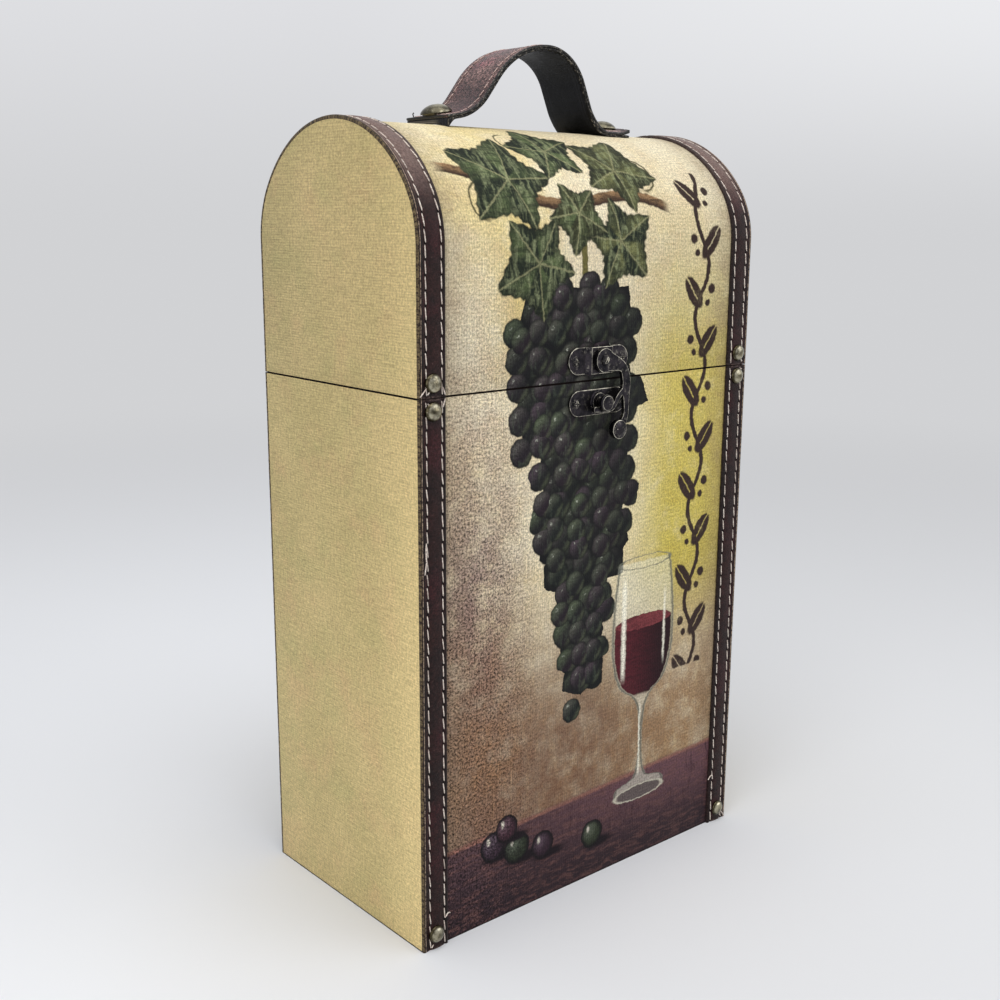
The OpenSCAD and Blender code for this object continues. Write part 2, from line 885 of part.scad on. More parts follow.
// Domed rivet through strap, lid and washer, peened over inside. Its head
// sits square on a foot that slopes by lift.
module handle_rivet(lift) {
    tail_z = washer_top_z - washer_t - rivet_tail_h - foot_z;
    head_z = foot_l / 2 * tan(lift);
    translate([0, 0, head_z]) rotate([0, -lift, 0]) dome(rivet_r, rivet_head_h);
    translate([0, 0, tail_z])
        cylinder(r = rivet_shank_r, h = head_z + rivet_head_h / 4 - tail_z);
    translate([0, 0, tail_z]) cylinder(r = rivet_shank_r + 0.9, h = rivet_tail_h);
}

module handle_rivets() {
    color(brass_colour) translate([handle_x, 0, foot_z]) {
        translate([-rivet_pitch / 2, 0, 0]) handle_rivet(foot_lift);
        translate([rivet_pitch / 2, 0, 0]) handle_rivet(0);
    }
}

module handle_washers() {
    color(brass_colour) translate([handle_x, 0, washer_top_z - washer_t])
        both_sides(rivet_pitch / 2) difference() {
            cylinder(r = washer_r, h = washer_t);
            translate([0, 0, -1]) cylinder(r = rivet_shank_r + fit, h = washer_t + 2);
        }
}

base_cover();
bottom_board();
body_front_board();
body_back_board();
body_left_board();
body_right_board();
body_lining();
bottle_divider();
body_front_canvas();
body_back_cloth();
body_left_cloth();
body_right_cloth();
body_trim_front_left();
body_trim_front_right();
body_trim_back_left();
body_trim_back_right();
body_trim_nails();
catch_plate();
catch_stud();
catch_screws();
hinge_body_leaves();
hinge_pins();
hinge_body_screws();
lid_left_board();
lid_right_board();
lid_front_board();
lid_back_board();
lid_dome_board();
lid_lining();
lid_canvas();
lid_left_cloth();
lid_right_cloth();
lid_trim_left();
lid_trim_right();
lid_trim_nails();
latch_plate();
latch_pivot_rivet();
latch_screws();
latch_hook();
hinge_lid_leaves();
hinge_lid_screws();
handle_strap();
handle_backing();
handle_rivets();
handle_washers();
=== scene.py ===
import math
import random

import bmesh
import bpy
from mathutils import Matrix, Vector, noise


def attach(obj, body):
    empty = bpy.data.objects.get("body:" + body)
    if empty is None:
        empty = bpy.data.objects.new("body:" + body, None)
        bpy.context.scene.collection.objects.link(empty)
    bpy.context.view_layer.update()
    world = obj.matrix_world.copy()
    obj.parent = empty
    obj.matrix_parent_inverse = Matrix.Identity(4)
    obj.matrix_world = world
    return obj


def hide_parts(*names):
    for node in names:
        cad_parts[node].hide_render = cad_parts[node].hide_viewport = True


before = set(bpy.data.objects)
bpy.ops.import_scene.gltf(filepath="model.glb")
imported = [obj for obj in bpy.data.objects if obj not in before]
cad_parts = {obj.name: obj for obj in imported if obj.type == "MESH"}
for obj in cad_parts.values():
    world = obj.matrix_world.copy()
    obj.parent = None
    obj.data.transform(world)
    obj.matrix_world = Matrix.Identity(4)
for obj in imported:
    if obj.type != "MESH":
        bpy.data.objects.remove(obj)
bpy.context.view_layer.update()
bpy.context.scene.view_settings.view_transform = "Standard"

# ---- Camera --------------------------------------------------------------
# A short telephoto, a little above the box and off its left front corner.


def spin(degrees, axis):
    return Matrix.Rotation(math.radians(degrees), 4, axis)


camera_data = bpy.data.cameras.new("camera")
camera_data.lens = 45.489
camera_data.sensor_width = 36
camera_data.clip_start = 0.01
camera = bpy.data.objects.new("camera", camera_data)
camera.matrix_world = (
    Matrix.Translation((-0.394365, -0.449333, 0.310246))
    @ spin(-40.695, "Z") @ spin(90 - 12.661, "X") @ spin(0.312, "Z")
)
bpy.context.collection.objects.link(camera)
bpy.context.scene.camera = camera

# ---- Light, ground and backdrop ------------------------------------------
# A pale sweep in a bright room: a big soft lamp above and in front, a weaker
# one at each side, and even light from all round.
low_backdrop = (0.64, 0.645, 0.66, 1)
high_backdrop = (0.745, 0.75, 0.775, 1)
window_side = (0.87, 0.88, 0.9, 1)


class Pattern:
    """A number, a place or a colour that varies over a surface. A sum with one,
    and each of its methods, adds a node to the same recipe. Lay and speckle change
    the colour itself; the others give a new pattern."""

    def __init__(self, recipe, socket):
        self.recipe, self.socket = recipe, socket

    def __add__(self, other):
        return self.recipe.calc("ADD", self, other)

    def __sub__(self, other):
        return self.recipe.calc("SUBTRACT", self, other)

    def __mul__(self, other):
        return self.recipe.calc("MULTIPLY", self, other)

    def __truediv__(self, other):
        return self.recipe.calc("DIVIDE", self, other)

    def __or__(self, other):
        """The greater of the two."""
        return self.recipe.calc("MAXIMUM", self, other)

    def __abs__(self):
        return self.recipe.calc("ABSOLUTE", self)

    def split(self):
        return self.recipe.add("SeparateXYZ", {0: self}, out=(0, 1, 2))

    def vector(self, operation, other=(0, 0, 0), out=0):
        return self.recipe.add("VectorMath", {0: self, 1: other}, out=out, operation=operation)

    def length(self):
        return self.vector("LENGTH", out=1)

    def scaled(self, share):
        return self.recipe.add("VectorMath", {0: self, "Scale": share}, operation="SCALE")

    def stretch(self, scale, shift=(0, 0, 0)):
        return self.recipe.add("Mapping", {"Vector": self, "Scale": scale, "Location": shift})

    def noise(self, scale, detail=3.0, rough=0.5, out=0):
        sockets = {"Vector": self, "Scale": scale, "Detail": detail, "Roughness": rough}
        return self.recipe.add("TexNoise", sockets, out=out)

    def line(self, low, high):
        """The share of the way from low to high, kept between 0 and 1."""
        return self.recipe.add("MapRange", {0: self, 1: low, 2: high})

    def ramp(self, low, high, at_low=0.0, at_high=1.0):
        sockets = {0: self, 1: low, 2: high, 3: at_low, 4: at_high}
        return self.recipe.add("MapRange", sockets, interpolation_type="SMOOTHSTEP")

    def curve(self, points):
        """The value read through a smooth curve of (in, out) points."""
        reading = self.recipe.add("FloatCurve", {1: self})
        mapping = reading.socket.node.mapping
        line = mapping.curves[0]
        line.points[0].location = points[0]
        line.points[1].location = points[-1]
        for point in points[1:-1]:
            line.points.new(*point)
        mapping.update()
        return reading

    def mix(self, under, over, blend="MIX"):
        """Lays one colour over another where this is 1."""
        return self.recipe.mix(self, under, over, blend)

    def lay(self, share, colour, blend="MIX"):
        """Covers this colour with another, as far as the share goes."""
        self.socket = self.recipe.mix(share, self, colour, blend).socket

    def speckle(self, value, low, high, reach):
        """Shades this colour up and down by a share, as the value goes from low to high."""
        shade = (value.ramp(low, high) - 0.5) * (reach * 2.0) + 1.0
        self.socket = self.scaled(shade).socket


def paint(colour):
    """Shader colour from the three 0 to 255 values of a colour card. A pattern or
    a ready shader colour stays as it is."""
    if isinstance(colour, Pattern) or len(colour) == 4:
        return colour
    shares = (part / 255 for part in colour)
    return (*(((s + 0.055) / 1.055) ** 2.4 if s > 0.04 else s / 12.92 for s in shares), 1)


class Recipe:
    """The nodes that a material or the room's light is built up from."""

    def __init__(self, tree):
        self.tree = tree

    def add(self, kind, inputs=(), out=0, **settings):
        node = self.tree.nodes.new("ShaderNode" + kind)
        for name, value in settings.items():
            setattr(node, name, value)
        for socket, value in dict(inputs).items():
            if isinstance(value, Pattern):
                self.tree.links.new(value.socket, node.inputs[socket])
            else:
                node.inputs[socket].default_value = value
        if isinstance(out, tuple):
            return [Pattern(self, node.outputs[one]) for one in out]
        return Pattern(self, node.outputs[out])

    def calc(self, operation, a, b=0.0):
        return self.add("Math", {0: a, 1: b}, operation=operation)

    def join(self, x, y):
        return self.add("CombineXYZ", {0: x, 1: y})

    def mix(self, factor, under, over, blend="MIX"):
        sockets = {0: factor, 6: paint(under), 7: paint(over)}
        return self.add("Mix", sockets, out=2, data_type="RGBA", blend_type=blend)

    def seen_directly(self):
        """1 where the background is seen, in a mirror or through glass too."""
        eye, mirror, glass = self.add(
            "LightPath", out=("Is Camera Ray", "Is Glossy Ray", "Is Transmission Ray"))
        return eye | mirror | glass

    def show(self, kind, factor, near, seen):
        """Ends the recipe in two shaders, the second where the factor is 1."""
        mixed = self.add("MixShader", {0: factor, 1: near, 2: seen})
        self.tree.links.new(mixed.socket, self.tree.nodes.new("ShaderNode" + kind).inputs[0])


world = bpy.data.worlds.new("room")
bpy.context.scene.world = world
world.use_nodes = True
world.node_tree.nodes.clear()
room = Recipe(world.node_tree)
sideways, _, upwards = room.add("TexCoord", out="Generated").split()
rise = upwards.ramp(-0.02, 0.2)
by_window = sideways.line(0.55, 0.95) * rise
backdrop = by_window.mix(rise.mix(low_backdrop, high_backdrop), window_side)
room.show(
    "OutputWorld", room.seen_directly(),
    room.add("Background", {"Color": (1, 1, 1, 1), "Strength": 0.46}),
    room.add("Background", {"Color": backdrop, "Strength": 1.0}))

lamps = {
    "lamp_above": ((-0.25, -0.35, 1.7), 1.4, 18),
    "lamp_left": ((-1.6, -0.7, 0.55), 1.2, 9.2),
    "lamp_right": ((1.2, -1.5, 0.9), 1.4, 9.5),
}
for name, (place, size, watts) in lamps.items():
    lamp_data = bpy.data.lights.new(name, "AREA")
    lamp_data.size = size
    lamp_data.energy = watts
    lamp = bpy.data.objects.new(name, lamp_data)
    lamp.location = place
    aim = Vector((0, 0, 0.2)) - Vector(place)
    lamp.rotation_euler = aim.to_track_quat("-Z", "Y").to_euler()
    bpy.context.collection.objects.link(lamp)

bpy.ops.object.select_all(action="DESELECT")
bpy.ops.mesh.primitive_circle_add(vertices=96, radius=8, fill_type="NGON")
ground = bpy.context.object
ground.name = "ground"
pale_sweep = bpy.data.materials.new("pale_sweep")
pale_sweep.use_nodes = True
ground.data.materials.append(pale_sweep)
pale_sweep.node_tree.nodes.clear()
sweep = Recipe(pale_sweep.node_tree)
sweep_at = sweep.add("TexCoord", out="Object")
sweep_x, sweep_y, _ = sweep_at.split()
# Painted light: the paper is painted a little brighter to the left of the box
paper = (sweep_y - sweep_x).ramp(0.02, 0.26).mix((0.725, 0.735, 0.76, 1), (0.8, 0.815, 0.85, 1))
sweep.show(
    "OutputMaterial", sweep_at.length().ramp(0.35, 1.6) * sweep.seen_directly(),
    sweep.add("BsdfDiffuse", {"Color": paper}), sweep.add("Emission", {"Color": low_backdrop}))


# ---- Boards of the box and the lid ---------------------------------------
# Pressed fibreboard, nailed and glued into two open boxes. The boards are the
# frame's own solids; they show only where the wrapping leaves an edge bare.
class Finish(Recipe):
    """A material that is built up node by node on one principled shader."""

    def __init__(self, name, **sockets):
        self.material = bpy.data.materials.new(name)
        self.material.use_nodes = True
        super().__init__(self.material.node_tree)
        self.shader = self.tree.nodes["Principled BSDF"]
        for socket, value in sockets.items():
            self.shader.inputs[socket.replace("_", " ")].default_value = value

    def place(self):
        return self.add("TexCoord", out="Object")

    def cloth_map(self):
        """Where the point lies on the flat strip or sheet."""
        return self.add("UVMap", uv_map="cloth")

    def bump(self, height, strength, depth):
        return self.add("Bump", {"Height": height, "Strength": strength, "Distance": depth})

    def use(self, colour, normal, roughness=None):
        for socket, value in (("Base Color", colour), ("Normal", normal), ("Roughness", roughness)):
            if value is not None:
                self.tree.links.new(value.socket, self.shader.inputs[socket])
        return self.material


def finish_nodes(material, *names):
    """Gives solids of the frame a material."""
    for name in names:
        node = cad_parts[name]
        if not node.material_slots:
            node.data.materials.append(material)
        for material_slot in node.material_slots:
            material_slot.material = material


def matted(finish, fibres, low, high, dark, light, strength, depth, patches=None, over=None):
    """Short fibres in two colours, with patches of a third over them."""
    tone = fibres.ramp(low, high).mix(dark, light)
    if patches:
        tone.lay(patches, over)
    return finish.use(tone, finish.bump(fibres, strength, depth))


fibre = Finish("fibreboard", Roughness=0.9)
at = fibre.place()
fibreboard = matted(
    fibre, at.stretch((1, 1, 0.25)).noise(1800, 5, 0.7), 0.35, 0.7, (120, 88, 58), (188, 152, 108),
    0.4, 0.0003, at.noise(60, 2).ramp(0.3, 0.8, 0, 0.4), (104, 74, 50))
finish_nodes(
    fibreboard,
    "bottom_board", "body_front_board", "body_back_board", "body_left_board", "body_right_board",
    "lid_left_board", "lid_right_board", "lid_front_board", "lid_back_board", "lid_dome_board",
)

# ---- Linings and bottle divider ------------------------------------------
# Dark brown flocked paper is glued inside both halves, and over the divider.
flock = Finish("lining_paper", Roughness=0.95, Sheen_Weight=0.35, Sheen_Roughness=0.6)
at = flock.place()
lining_paper = matted(
    flock, at.noise(2600, 4, 0.65), 0.3, 0.75, (40, 27, 26), (74, 54, 50), 0.5, 0.0002,
    at.noise(28, 3, 0.5).ramp(0.35, 0.75, 0, 0.45), (92, 70, 62))
finish_nodes(lining_paper, "body_lining", "lid_lining", "bottle_divider")

# Painted shade: the paper over the rims is painted near black, so the gap between the halves reads
# dark
rim_paper_painted_shade = Finish("rim_paper_painted_shade", Roughness=0.95, Specular_IOR_Level=0.1)
rim_painted_shade = matted(
    rim_paper_painted_shade, rim_paper_painted_shade.place().noise(1800, 3, 0.65), 0.35, 0.7, (13, 8, 7), (30, 20, 18),
    0.4, 0.0002)

under = Finish("base_paper", Roughness=0.85)
at = under.place()
base_paper = matted(
    under, at.noise(1500, 4, 0.6), 0.3, 0.7, (34, 24, 22), (58, 42, 38), 0.4, 0.0002,
    at.stretch((1, 6, 1)).noise(26, 5, 0.7).ramp(0.62, 0.75), (96, 78, 66))
finish_nodes(base_paper, "base_cover")


# ---- Plain cloth on the ends, the back and the rims ----------------------
# Beige slub cloth is glued over both ends and the back, and turned over every
# edge. Lining paper is carried across the rims where the halves meet, painted near
# black there as painted shade in the gap.
def fresh():
    """Nothing is selected, so the next operator acts on the new piece alone."""
    if bpy.context.object and bpy.context.object.mode != "OBJECT":
        bpy.ops.object.mode_set(mode="OBJECT")
    bpy.ops.object.select_all(action="DESELECT")


def block(name, low, high):
    """A block between two corners, its place in its mesh."""
    fresh()
    middle = [(a + b) / 2 for a, b in zip(low, high)]
    bpy.ops.mesh.primitive_cube_add(size=1, location=middle)
    piece = bpy.context.object
    piece.name = piece.data.name = name
    piece.scale = [b - a for a, b in zip(low, high)]
    bpy.ops.object.transform_apply(location=True, rotation=True, scale=True)
    return piece


def only(piece):
    fresh()
    piece.select_set(True)
    bpy.context.view_layer.objects.active = piece


def choose(piece, kind, wanted):
    """Opens a piece for work with only the wanted ones of its faces or edges selected."""
    only(piece)
    bpy.ops.object.mode_set(mode="EDIT")
    shape = bmesh.from_edit_mesh(piece.data)
    for face in shape.faces:
        face.select = False
    for one in getattr(shape, kind):
        one.select = wanted(one)
    bmesh.update_edit_mesh(piece.data)


def work(piece, operator, **settings):
    """Runs one mesh operator on the whole of a piece."""
    only(piece)
    bpy.ops.object.mode_set(mode="EDIT")
    bpy.ops.mesh.select_all(action="SELECT")
    operator(**settings)
    bpy.ops.object.mode_set(mode="OBJECT")


def face_outward(piece):
    work(piece, bpy.ops.mesh.normals_make_consistent, inside=False)


def cuts(piece, axis, places):
    """Cuts a mesh right through at the places along one axis."""
    facing = Vector([float(axis == one) for one in "xyz"])
    for at in places:
        work(piece, bpy.ops.mesh.bisect, plane_co=facing * at, plane_no=facing)


def modify(piece, kind, **settings):
    """Adds one modifier and applies it."""
    only(piece)
    modifier = piece.modifiers.new(kind.lower(), kind)
    for name, value in settings.items():
        setattr(modifier, name, value)
    bpy.ops.object.modifier_apply(modifier=modifier.name)


def soften(piece, width, segments=2, angle=30):
    modify(
        piece, "BEVEL", width=width, segments=segments,
        limit_method="ANGLE", angle_limit=math.radians(angle),
    )


def smooth(piece, angle=35):
    only(piece)
    bpy.ops.object.shade_smooth_by_angle(angle=math.radians(angle))


def reshape(piece, where):
    """Moves every point of a mesh to where the function puts it."""
    for vertex in piece.data.vertices:
        vertex.co = where(vertex.co.copy())
    piece.data.update()


def stitch_uv(piece, where=lambda at: (at.x * 10, at.z * 10)):
    """Lays a UV map on a mesh, in units of 100 mm: where gives u and v for a point."""
    layer = piece.data.uv_layers.get("cloth") or piece.data.uv_layers.new(name="cloth")
    piece.data.uv_layers.active = layer
    for loop in piece.data.loops:
        layer.data[loop.index].uv = where(piece.data.vertices[loop.vertex_index].co)


def fit_out(piece, body, material, slot, *solids):
    """The last steps for a piece: its material, body and the solids it stands for. The slot is not
    used.
    """
    piece.data.materials.clear()
    piece.data.materials.append(material)
    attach(piece, body)
    if solids:
        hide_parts(*solids)


half_w, half_d = 0.1, 0.057
rim_z, lid_z, spring_z = 0.24, 0.2404, 0.2994
cloth_t = 0.0006
# The cloth stops this far short of each rim, so a dark line shows at the gap
short = 0.0002
shoulder_y, shoulder_r = 0.017, 0.040
crown_r = 0.0605606
crown_cz = 0.2878394
crown_half = math.atan2(shoulder_y, spring_z - crown_cz)
shoulder_turn = math.pi / 2 - crown_half
arc_shoulder = shoulder_r * shoulder_turn
crown_s = spring_z + arc_shoulder + crown_r * crown_half


def on_arch(s, off):
    """Y and Z of a point that lies s along the outside of the wall from the
    base up and over the lid, and off it by the second distance."""
    over = s > crown_s
    run = 2 * crown_s - s if over else s
    if run < spring_z:
        y, z = -half_d - off, run
    elif run < spring_z + arc_shoulder:
        turn = (run - spring_z) / shoulder_r
        reach = shoulder_r + off
        y, z = -shoulder_y - reach * math.cos(turn), spring_z + reach * math.sin(turn)
    else:
        turn = (crown_s - run) / crown_r
        reach = crown_r + off
        y, z = -reach * math.sin(turn), crown_cz + reach * math.cos(turn)
    return (-y if over else y), z


def woven_beige(name, across, along):
    """Beige slub cloth whose threads run along two axes of the piece."""
    cloth = Finish(name, Roughness=0.9, Specular_IOR_Level=0.15, Sheen_Weight=0.1)
    at = cloth.place()
    axes = dict(zip("xyz", at.split()))
    wander = at.noise(300, 2)
    weft_pitch, warp_pitch = 0.00112, 0.00075
    weft = cloth.calc("SINE", axes[along] * (2 * math.pi / weft_pitch) + wander * 5.0)
    warp = cloth.calc("SINE", axes[across] * (2 * math.pi / warp_pitch) + wander * 7.0)
    long_way = {"x": (90, 1300, 1300), "y": (1300, 90, 1300), "z": (1300, 1300, 110)}
    slub_across = at.stretch(long_way[across]).noise(1.0, 3, 0.65)
    slub_along = at.stretch(long_way[along]).noise(1.0, 3, 0.65)
    grain = at.noise(760, 4, 0.85)
    cloud = at.noise(14, 4, 0.6)
    blush = at.noise(42, 5, 0.65)
    green = at.vector("ADD", (3, 5, 7)).noise(30, 4, 0.6)
    tone = cloud.ramp(0.3, 0.72).mix((178, 162, 112), (194, 174, 124))
    tone.lay(blush.ramp(0.48, 0.7, 0, 0.55), (190, 162, 118))
    tone.lay(green.ramp(0.48, 0.7, 0, 0.45), (168, 160, 108))
    if across == "y":
        # The ends are painted lighter and warmer beside the front trim
        by_front = (cloud * 0.03 + axes["y"]).ramp(-0.005, -0.045)
        tone.lay(by_front * 0.75, (212, 190, 136))
        # Painted shade and light: the ends are painted darker towards the top and lighter towards
        # the bottom
        tone.speckle(axes["z"], 0.34, 0.03, 0.1)
    for shade in (
        (grain, 0.34, 0.66, 0.25), (slub_across, 0.3, 0.7, 0.1), (slub_along, 0.3, 0.7, 0.08),
        (weft, -1, 1, 0.05), (warp, -1, 1, 0.05),
    ):
        tone.speckle(*shade)
    return cloth.use(tone, cloth.bump(slub_across + weft * 0.4, 0.3, 0.0002))


end_weave = woven_beige("end_cloth_weave", "y", "z")
back_weave = woven_beige("back_cloth_weave", "x", "z")


def flat_sheet(node, low, high, material, slot, rounding=0.00025, segments=2):
    """A sheet glued flat on the body, which stands for a solid."""
    sheet = block(node + "_sheet", low, high)
    soften(sheet, rounding, segments)
    smooth(sheet)
    fit_out(sheet, "body", material, slot, node)
    return sheet


for side, name in ((-1, "left"), (1, "right")):
    x_low, x_high = sorted((side * half_w, side * (half_w - cloth_t)))
    flat_sheet(
        f"body_{name}_cloth", (x_low, -half_d, 0), (x_high, half_d, rim_z - short),
        end_weave, "plain_cloth", 0.00028, 3)
flat_sheet(
    "body_back_cloth", (cloth_t - half_w, half_d - cloth_t, 0),
    (half_w - cloth_t, half_d, rim_z - short), back_weave, "plain_cloth")


def lid_end_sheet(name, side):
    """The cloth of one end of the lid: its outline, filled and pulled out to a sheet."""
    fresh()
    bpy.ops.mesh.primitive_plane_add(size=1)
    sheet = bpy.context.object
    sheet.name = sheet.data.name = name
    x = side * (half_w - cloth_t)
    count = 96
    low = lid_z + short
    ring = [on_arch(low + 2 * (crown_s - low) * k / count, 0) for k in range(count + 1)]
    shape = bmesh.new()
    shape.faces.new([shape.verts.new((x, y, z)) for y, z in ring])
    shape.to_mesh(sheet.data)
    shape.free()
    work(sheet, bpy.ops.mesh.extrude_region_move,
         TRANSFORM_OT_translate={"value": (side * cloth_t, 0, 0)})
    face_outward(sheet)
    soften(sheet, 0.00025, 2, 50)
    smooth(sheet)
    return sheet


for side, name in ((-1, "left"), (1, "right")):
    cloth = lid_end_sheet(f"lid_{name}_cloth_sheet", side)
    fit_out(cloth, "lid", end_weave, "plain_cloth", f"lid_{name}_cloth")


def rim_wrap(name, low, high, body):
    """Lining paper turned out over a rim, as a flat frame as wide as the wall. Its
    near-black colour is painted shade in the gap between the halves.
    """
    wall = 0.0064
    inset = 0.0003
    wide, deep = half_w - inset, half_d - inset
    wrap = block(name, (-wide, -deep, low), (wide, deep, high))
    cuts(wrap, "x", (wall - half_w, half_w - wall))
    cuts(wrap, "y", (wall - half_d, half_d - wall))

    def over_hollow(face):
        middle = face.calc_center_median()
        return abs(middle.x) < half_w - wall and abs(middle.y) < half_d - wall

    choose(wrap, "faces", over_hollow)
    bpy.ops.mesh.delete(type="FACE")
    choose(wrap, "edges", lambda edge: edge.is_boundary)
    bpy.ops.mesh.bridge_edge_loops()
    face_outward(wrap)
    fit_out(wrap, body, rim_painted_shade, "lining")


rim_wrap("body_rim_wrap", rim_z - 2 * short, rim_z + 0.00012, "body")
rim_wrap("lid_rim_wrap", lid_z - 0.00012, lid_z + 2 * short, "lid")


# ---- Printed canvas ------------------------------------------------------
# One cream canvas covers the front of the body, and another the lid from front
# to back. A country still life is printed on it: grapes, vine leaves, a goblet.
ink = Finish("printed_canvas", Roughness=0.72, Specular_IOR_Level=0.16)
# The map is laid in units of 100 mm; the drawing is in millimetres
plain = ink.cloth_map().scaled(100.0)
plain_x, plain_s, _ = plain.split()


def wobble(scale, reach, seed):
    """The drawing's coordinates, shaken as a loaded brush shakes a line."""
    shake = plain.vector("ADD", (seed, -seed, seed)).noise(scale, 2, 0.55, out=1)
    return plain.vector("ADD", shake.vector("SUBTRACT", (0.5, 0.5, 0.5)).scaled(reach))


loose = wobble(0.09, 5.0, 11.0)
drawn = wobble(0.35, 1.6, 3.0)
x, s, _ = drawn.split()
loose_x, loose_s, _ = loose.split()
wash = plain.noise(0.018, 4, 0.62)
mottle = plain.noise(0.07, 5, 0.68)
strokes = loose.stretch((0.42, 0.05, 1)).noise(1.0, 3, 0.6)
cross_strokes = loose.stretch((0.06, 0.5, 1)).noise(1.0, 3, 0.6)


def below(value, edge, soft):
    """1 where the value is under the edge, 0 over it."""
    return value.ramp(edge + soft, edge - soft)


def line_at(value, edge, half_width, soft=0.35):
    return below(abs(value - edge), half_width, soft)


def oval(at_x, at_s, wide, high, px=x, ps=s):
    """Distance from the middle of an oval, 1 on its outline."""
    return ink.join((px - at_x) / wide, (ps - at_s) / high).length()


# Ground: cream at the top, ochre and mauve washes lower down
picture = wash.ramp(0.35, 0.68).mix((220, 210, 183), (208, 193, 158))
ochre = loose_x.ramp(8, 52) * loose_s.ramp(92, 150) * below(loose_s, 280, 50)
ochre *= mottle.ramp(0.15, 0.55, 0.45, 1.0)
picture.lay(ochre, (188, 172, 84))
lemon = below(loose_x, -22, 26) * loose_s.ramp(265, 330) * below(loose_s, 385, 26)
lemon *= wash.ramp(0.3, 0.6)
picture.lay(lemon * 0.5, (208, 188, 112))
pool = below(abs(loose_x + 44.0), 14, 16) * loose_s.ramp(222, 262) * below(loose_s, 330, 40)
pool *= mottle.ramp(0.3, 0.55)
picture.lay(pool * 0.6, (206, 180, 84))
mauve = below(loose_x, -46, 22) * below(loose_s, 262, 44)
mauve = mauve * mottle.ramp(0.25, 0.6, 0.35, 1.0) * loose_s.ramp(262, 130, 0.42, 1.0)
picture.lay(mauve, (118, 98, 94))
taupe = below(loose_s, 118, 52) * mottle.ramp(0.2, 0.62, 0.45, 1.0)
taupe *= loose_x.ramp(-20, 60, 1.0, 0.9)
picture.lay(taupe, (138, 104, 70))
plum = below(loose_s, 120, 44) * below(loose_x, 30, 50) * wash
picture.lay(plum * 0.95, (86, 68, 70))
under_cane = mottle.ramp(0.42, 0.66) * loose_s.ramp(150, 250) * below(loose_s, 380, 60)
picture.lay(under_cane * 0.3, (196, 172, 142))
picture.lay(strokes.ramp(0.42, 0.72, 0, 0.28), (246, 240, 214), "SOFT_LIGHT")
picture.lay(cross_strokes.ramp(0.5, 0.8, 0, 0.3), (128, 106, 84), "SOFT_LIGHT")
# Darker mottled brown towards both trims
brown_by_trims = abs(loose_x).ramp(66, 88) * mottle
picture.lay(brown_by_trims * 0.85, (122, 104, 84))

# Table: a burgundy board whose back edge crosses at about 45 mm
table = below(loose_x * -0.035 + s, 45, 1.2)
table_back = loose_x.ramp(-60, 60).mix((74, 54, 58), (98, 68, 74))
table_tone = s.ramp(4, 44).mix((45, 33, 38), table_back)
table_tone.lay(cross_strokes.ramp(0.42, 0.7, 0, 0.6), (104, 72, 68))
table_tone.lay(strokes.ramp(0.5, 0.75, 0, 0.5), (36, 22, 30))
table_edge = line_at(loose_x * -0.035 + s, 44.0, 0.9, 0.8)
table_tone.lay(table_edge * 0.6, (150, 104, 88))
picture.lay(table, table_tone)

# Cane and tendrils
cane_line = ink.calc("SINE", x * 0.06) * 5.0 + 318.0
cane_off = s - (x * -0.12 + cane_line)
cane_ends = x.ramp(-84, -76) * below(x, 44, 3)
cane = below(abs(cane_off), 2.7, 0.5) * cane_ends
cane_tone = cane_off.ramp(-2.5, 2.5).mix((52, 36, 28), (142, 112, 80))
cane_tone.lay(cross_strokes.ramp(0.45, 0.65, 0, 0.6), (40, 30, 24))
picture.lay(cane, cane_tone)
for at_x, at_s, radius, gap_x in ((-63, 317, 7, 1), (34, 332, 8, -1), (-30, 352, 6, 1)):
    ring = line_at(oval(at_x, at_s, radius, radius * 1.15), 1.0, 0.07, 0.07)
    open_side = ((x - at_x) * gap_x).ramp(radius * 0.5, -radius * 0.1)
    picture.lay(ring * open_side, (74, 70, 46))


def leaf(at_x, at_s, size, heading, dark, light):
    """A five-lobed vine leaf whose middle lobe points along the heading."""
    turn = math.radians(heading)
    px, ps = x - at_x, s - at_s
    ahead = px * math.cos(turn) + ps * math.sin(turn)
    aside = ps * math.cos(turn) - px * math.sin(turn)
    angle = ink.calc("ARCTAN2", aside, ahead)
    reach = ink.join(ahead, aside).length()
    lobes = abs(ink.calc("SINE", angle * 2.5))
    teeth = ink.calc("PINGPONG", angle * 4.3, 0.5)
    rim = (lobes * -0.36 + 0.98 + ink.calc("COSINE", angle) * 0.1 + teeth * 0.1) * size
    inside = below(reach - rim, 0, 0.7)
    vein = below(lobes * (reach * 0.42), 0.42, 0.3)
    feather = reach * (lobes * -0.5 + 1.0)
    ribs = ink.calc("SINE", feather * 1.5)
    side_light = ink.calc("SINE", angle * 5.0).ramp(-0.7, 0.7)
    tone = side_light.mix(dark, light)
    tone.lay(ribs.ramp(0.6, 1.0, 0, 0.22), (124, 128, 92))
    tone.lay(mottle.ramp(0.38, 0.62, 0, 0.8), dark)
    tone.lay(strokes.ramp(0.45, 0.66, 0, 0.5), (150, 158, 118))
    tone.lay(cross_strokes.ramp(0.45, 0.7, 0, 0.6), (22, 26, 20))
    tone = below(reach / rim, 0.9, 0.3).mix((24, 27, 20), tone)
    tone.lay(vein * 0.5, (152, 150, 112))
    picture.lay(inside, tone)


deep_green, mid_green = (30, 38, 28), (80, 92, 60)
olive, moss = (52, 54, 34), (116, 118, 76)
for place in (
    (-46, 327, 27, 148, deep_green, mid_green), (20, 334, 24, 62, olive, moss),
    (-14, 345, 21, 100, deep_green, mid_green),
):
    leaf(*place)

# Grapes: packed round cells, kept where a cell's middle lies in the bunch
bunch_outline = [
    (0, 0.03), (0.06, 0.15), (0.18, 0.27), (0.36, 0.42), (0.55, 0.6),
    (0.74, 0.74), (0.87, 0.72), (0.95, 0.52), (1, 0.3),
]


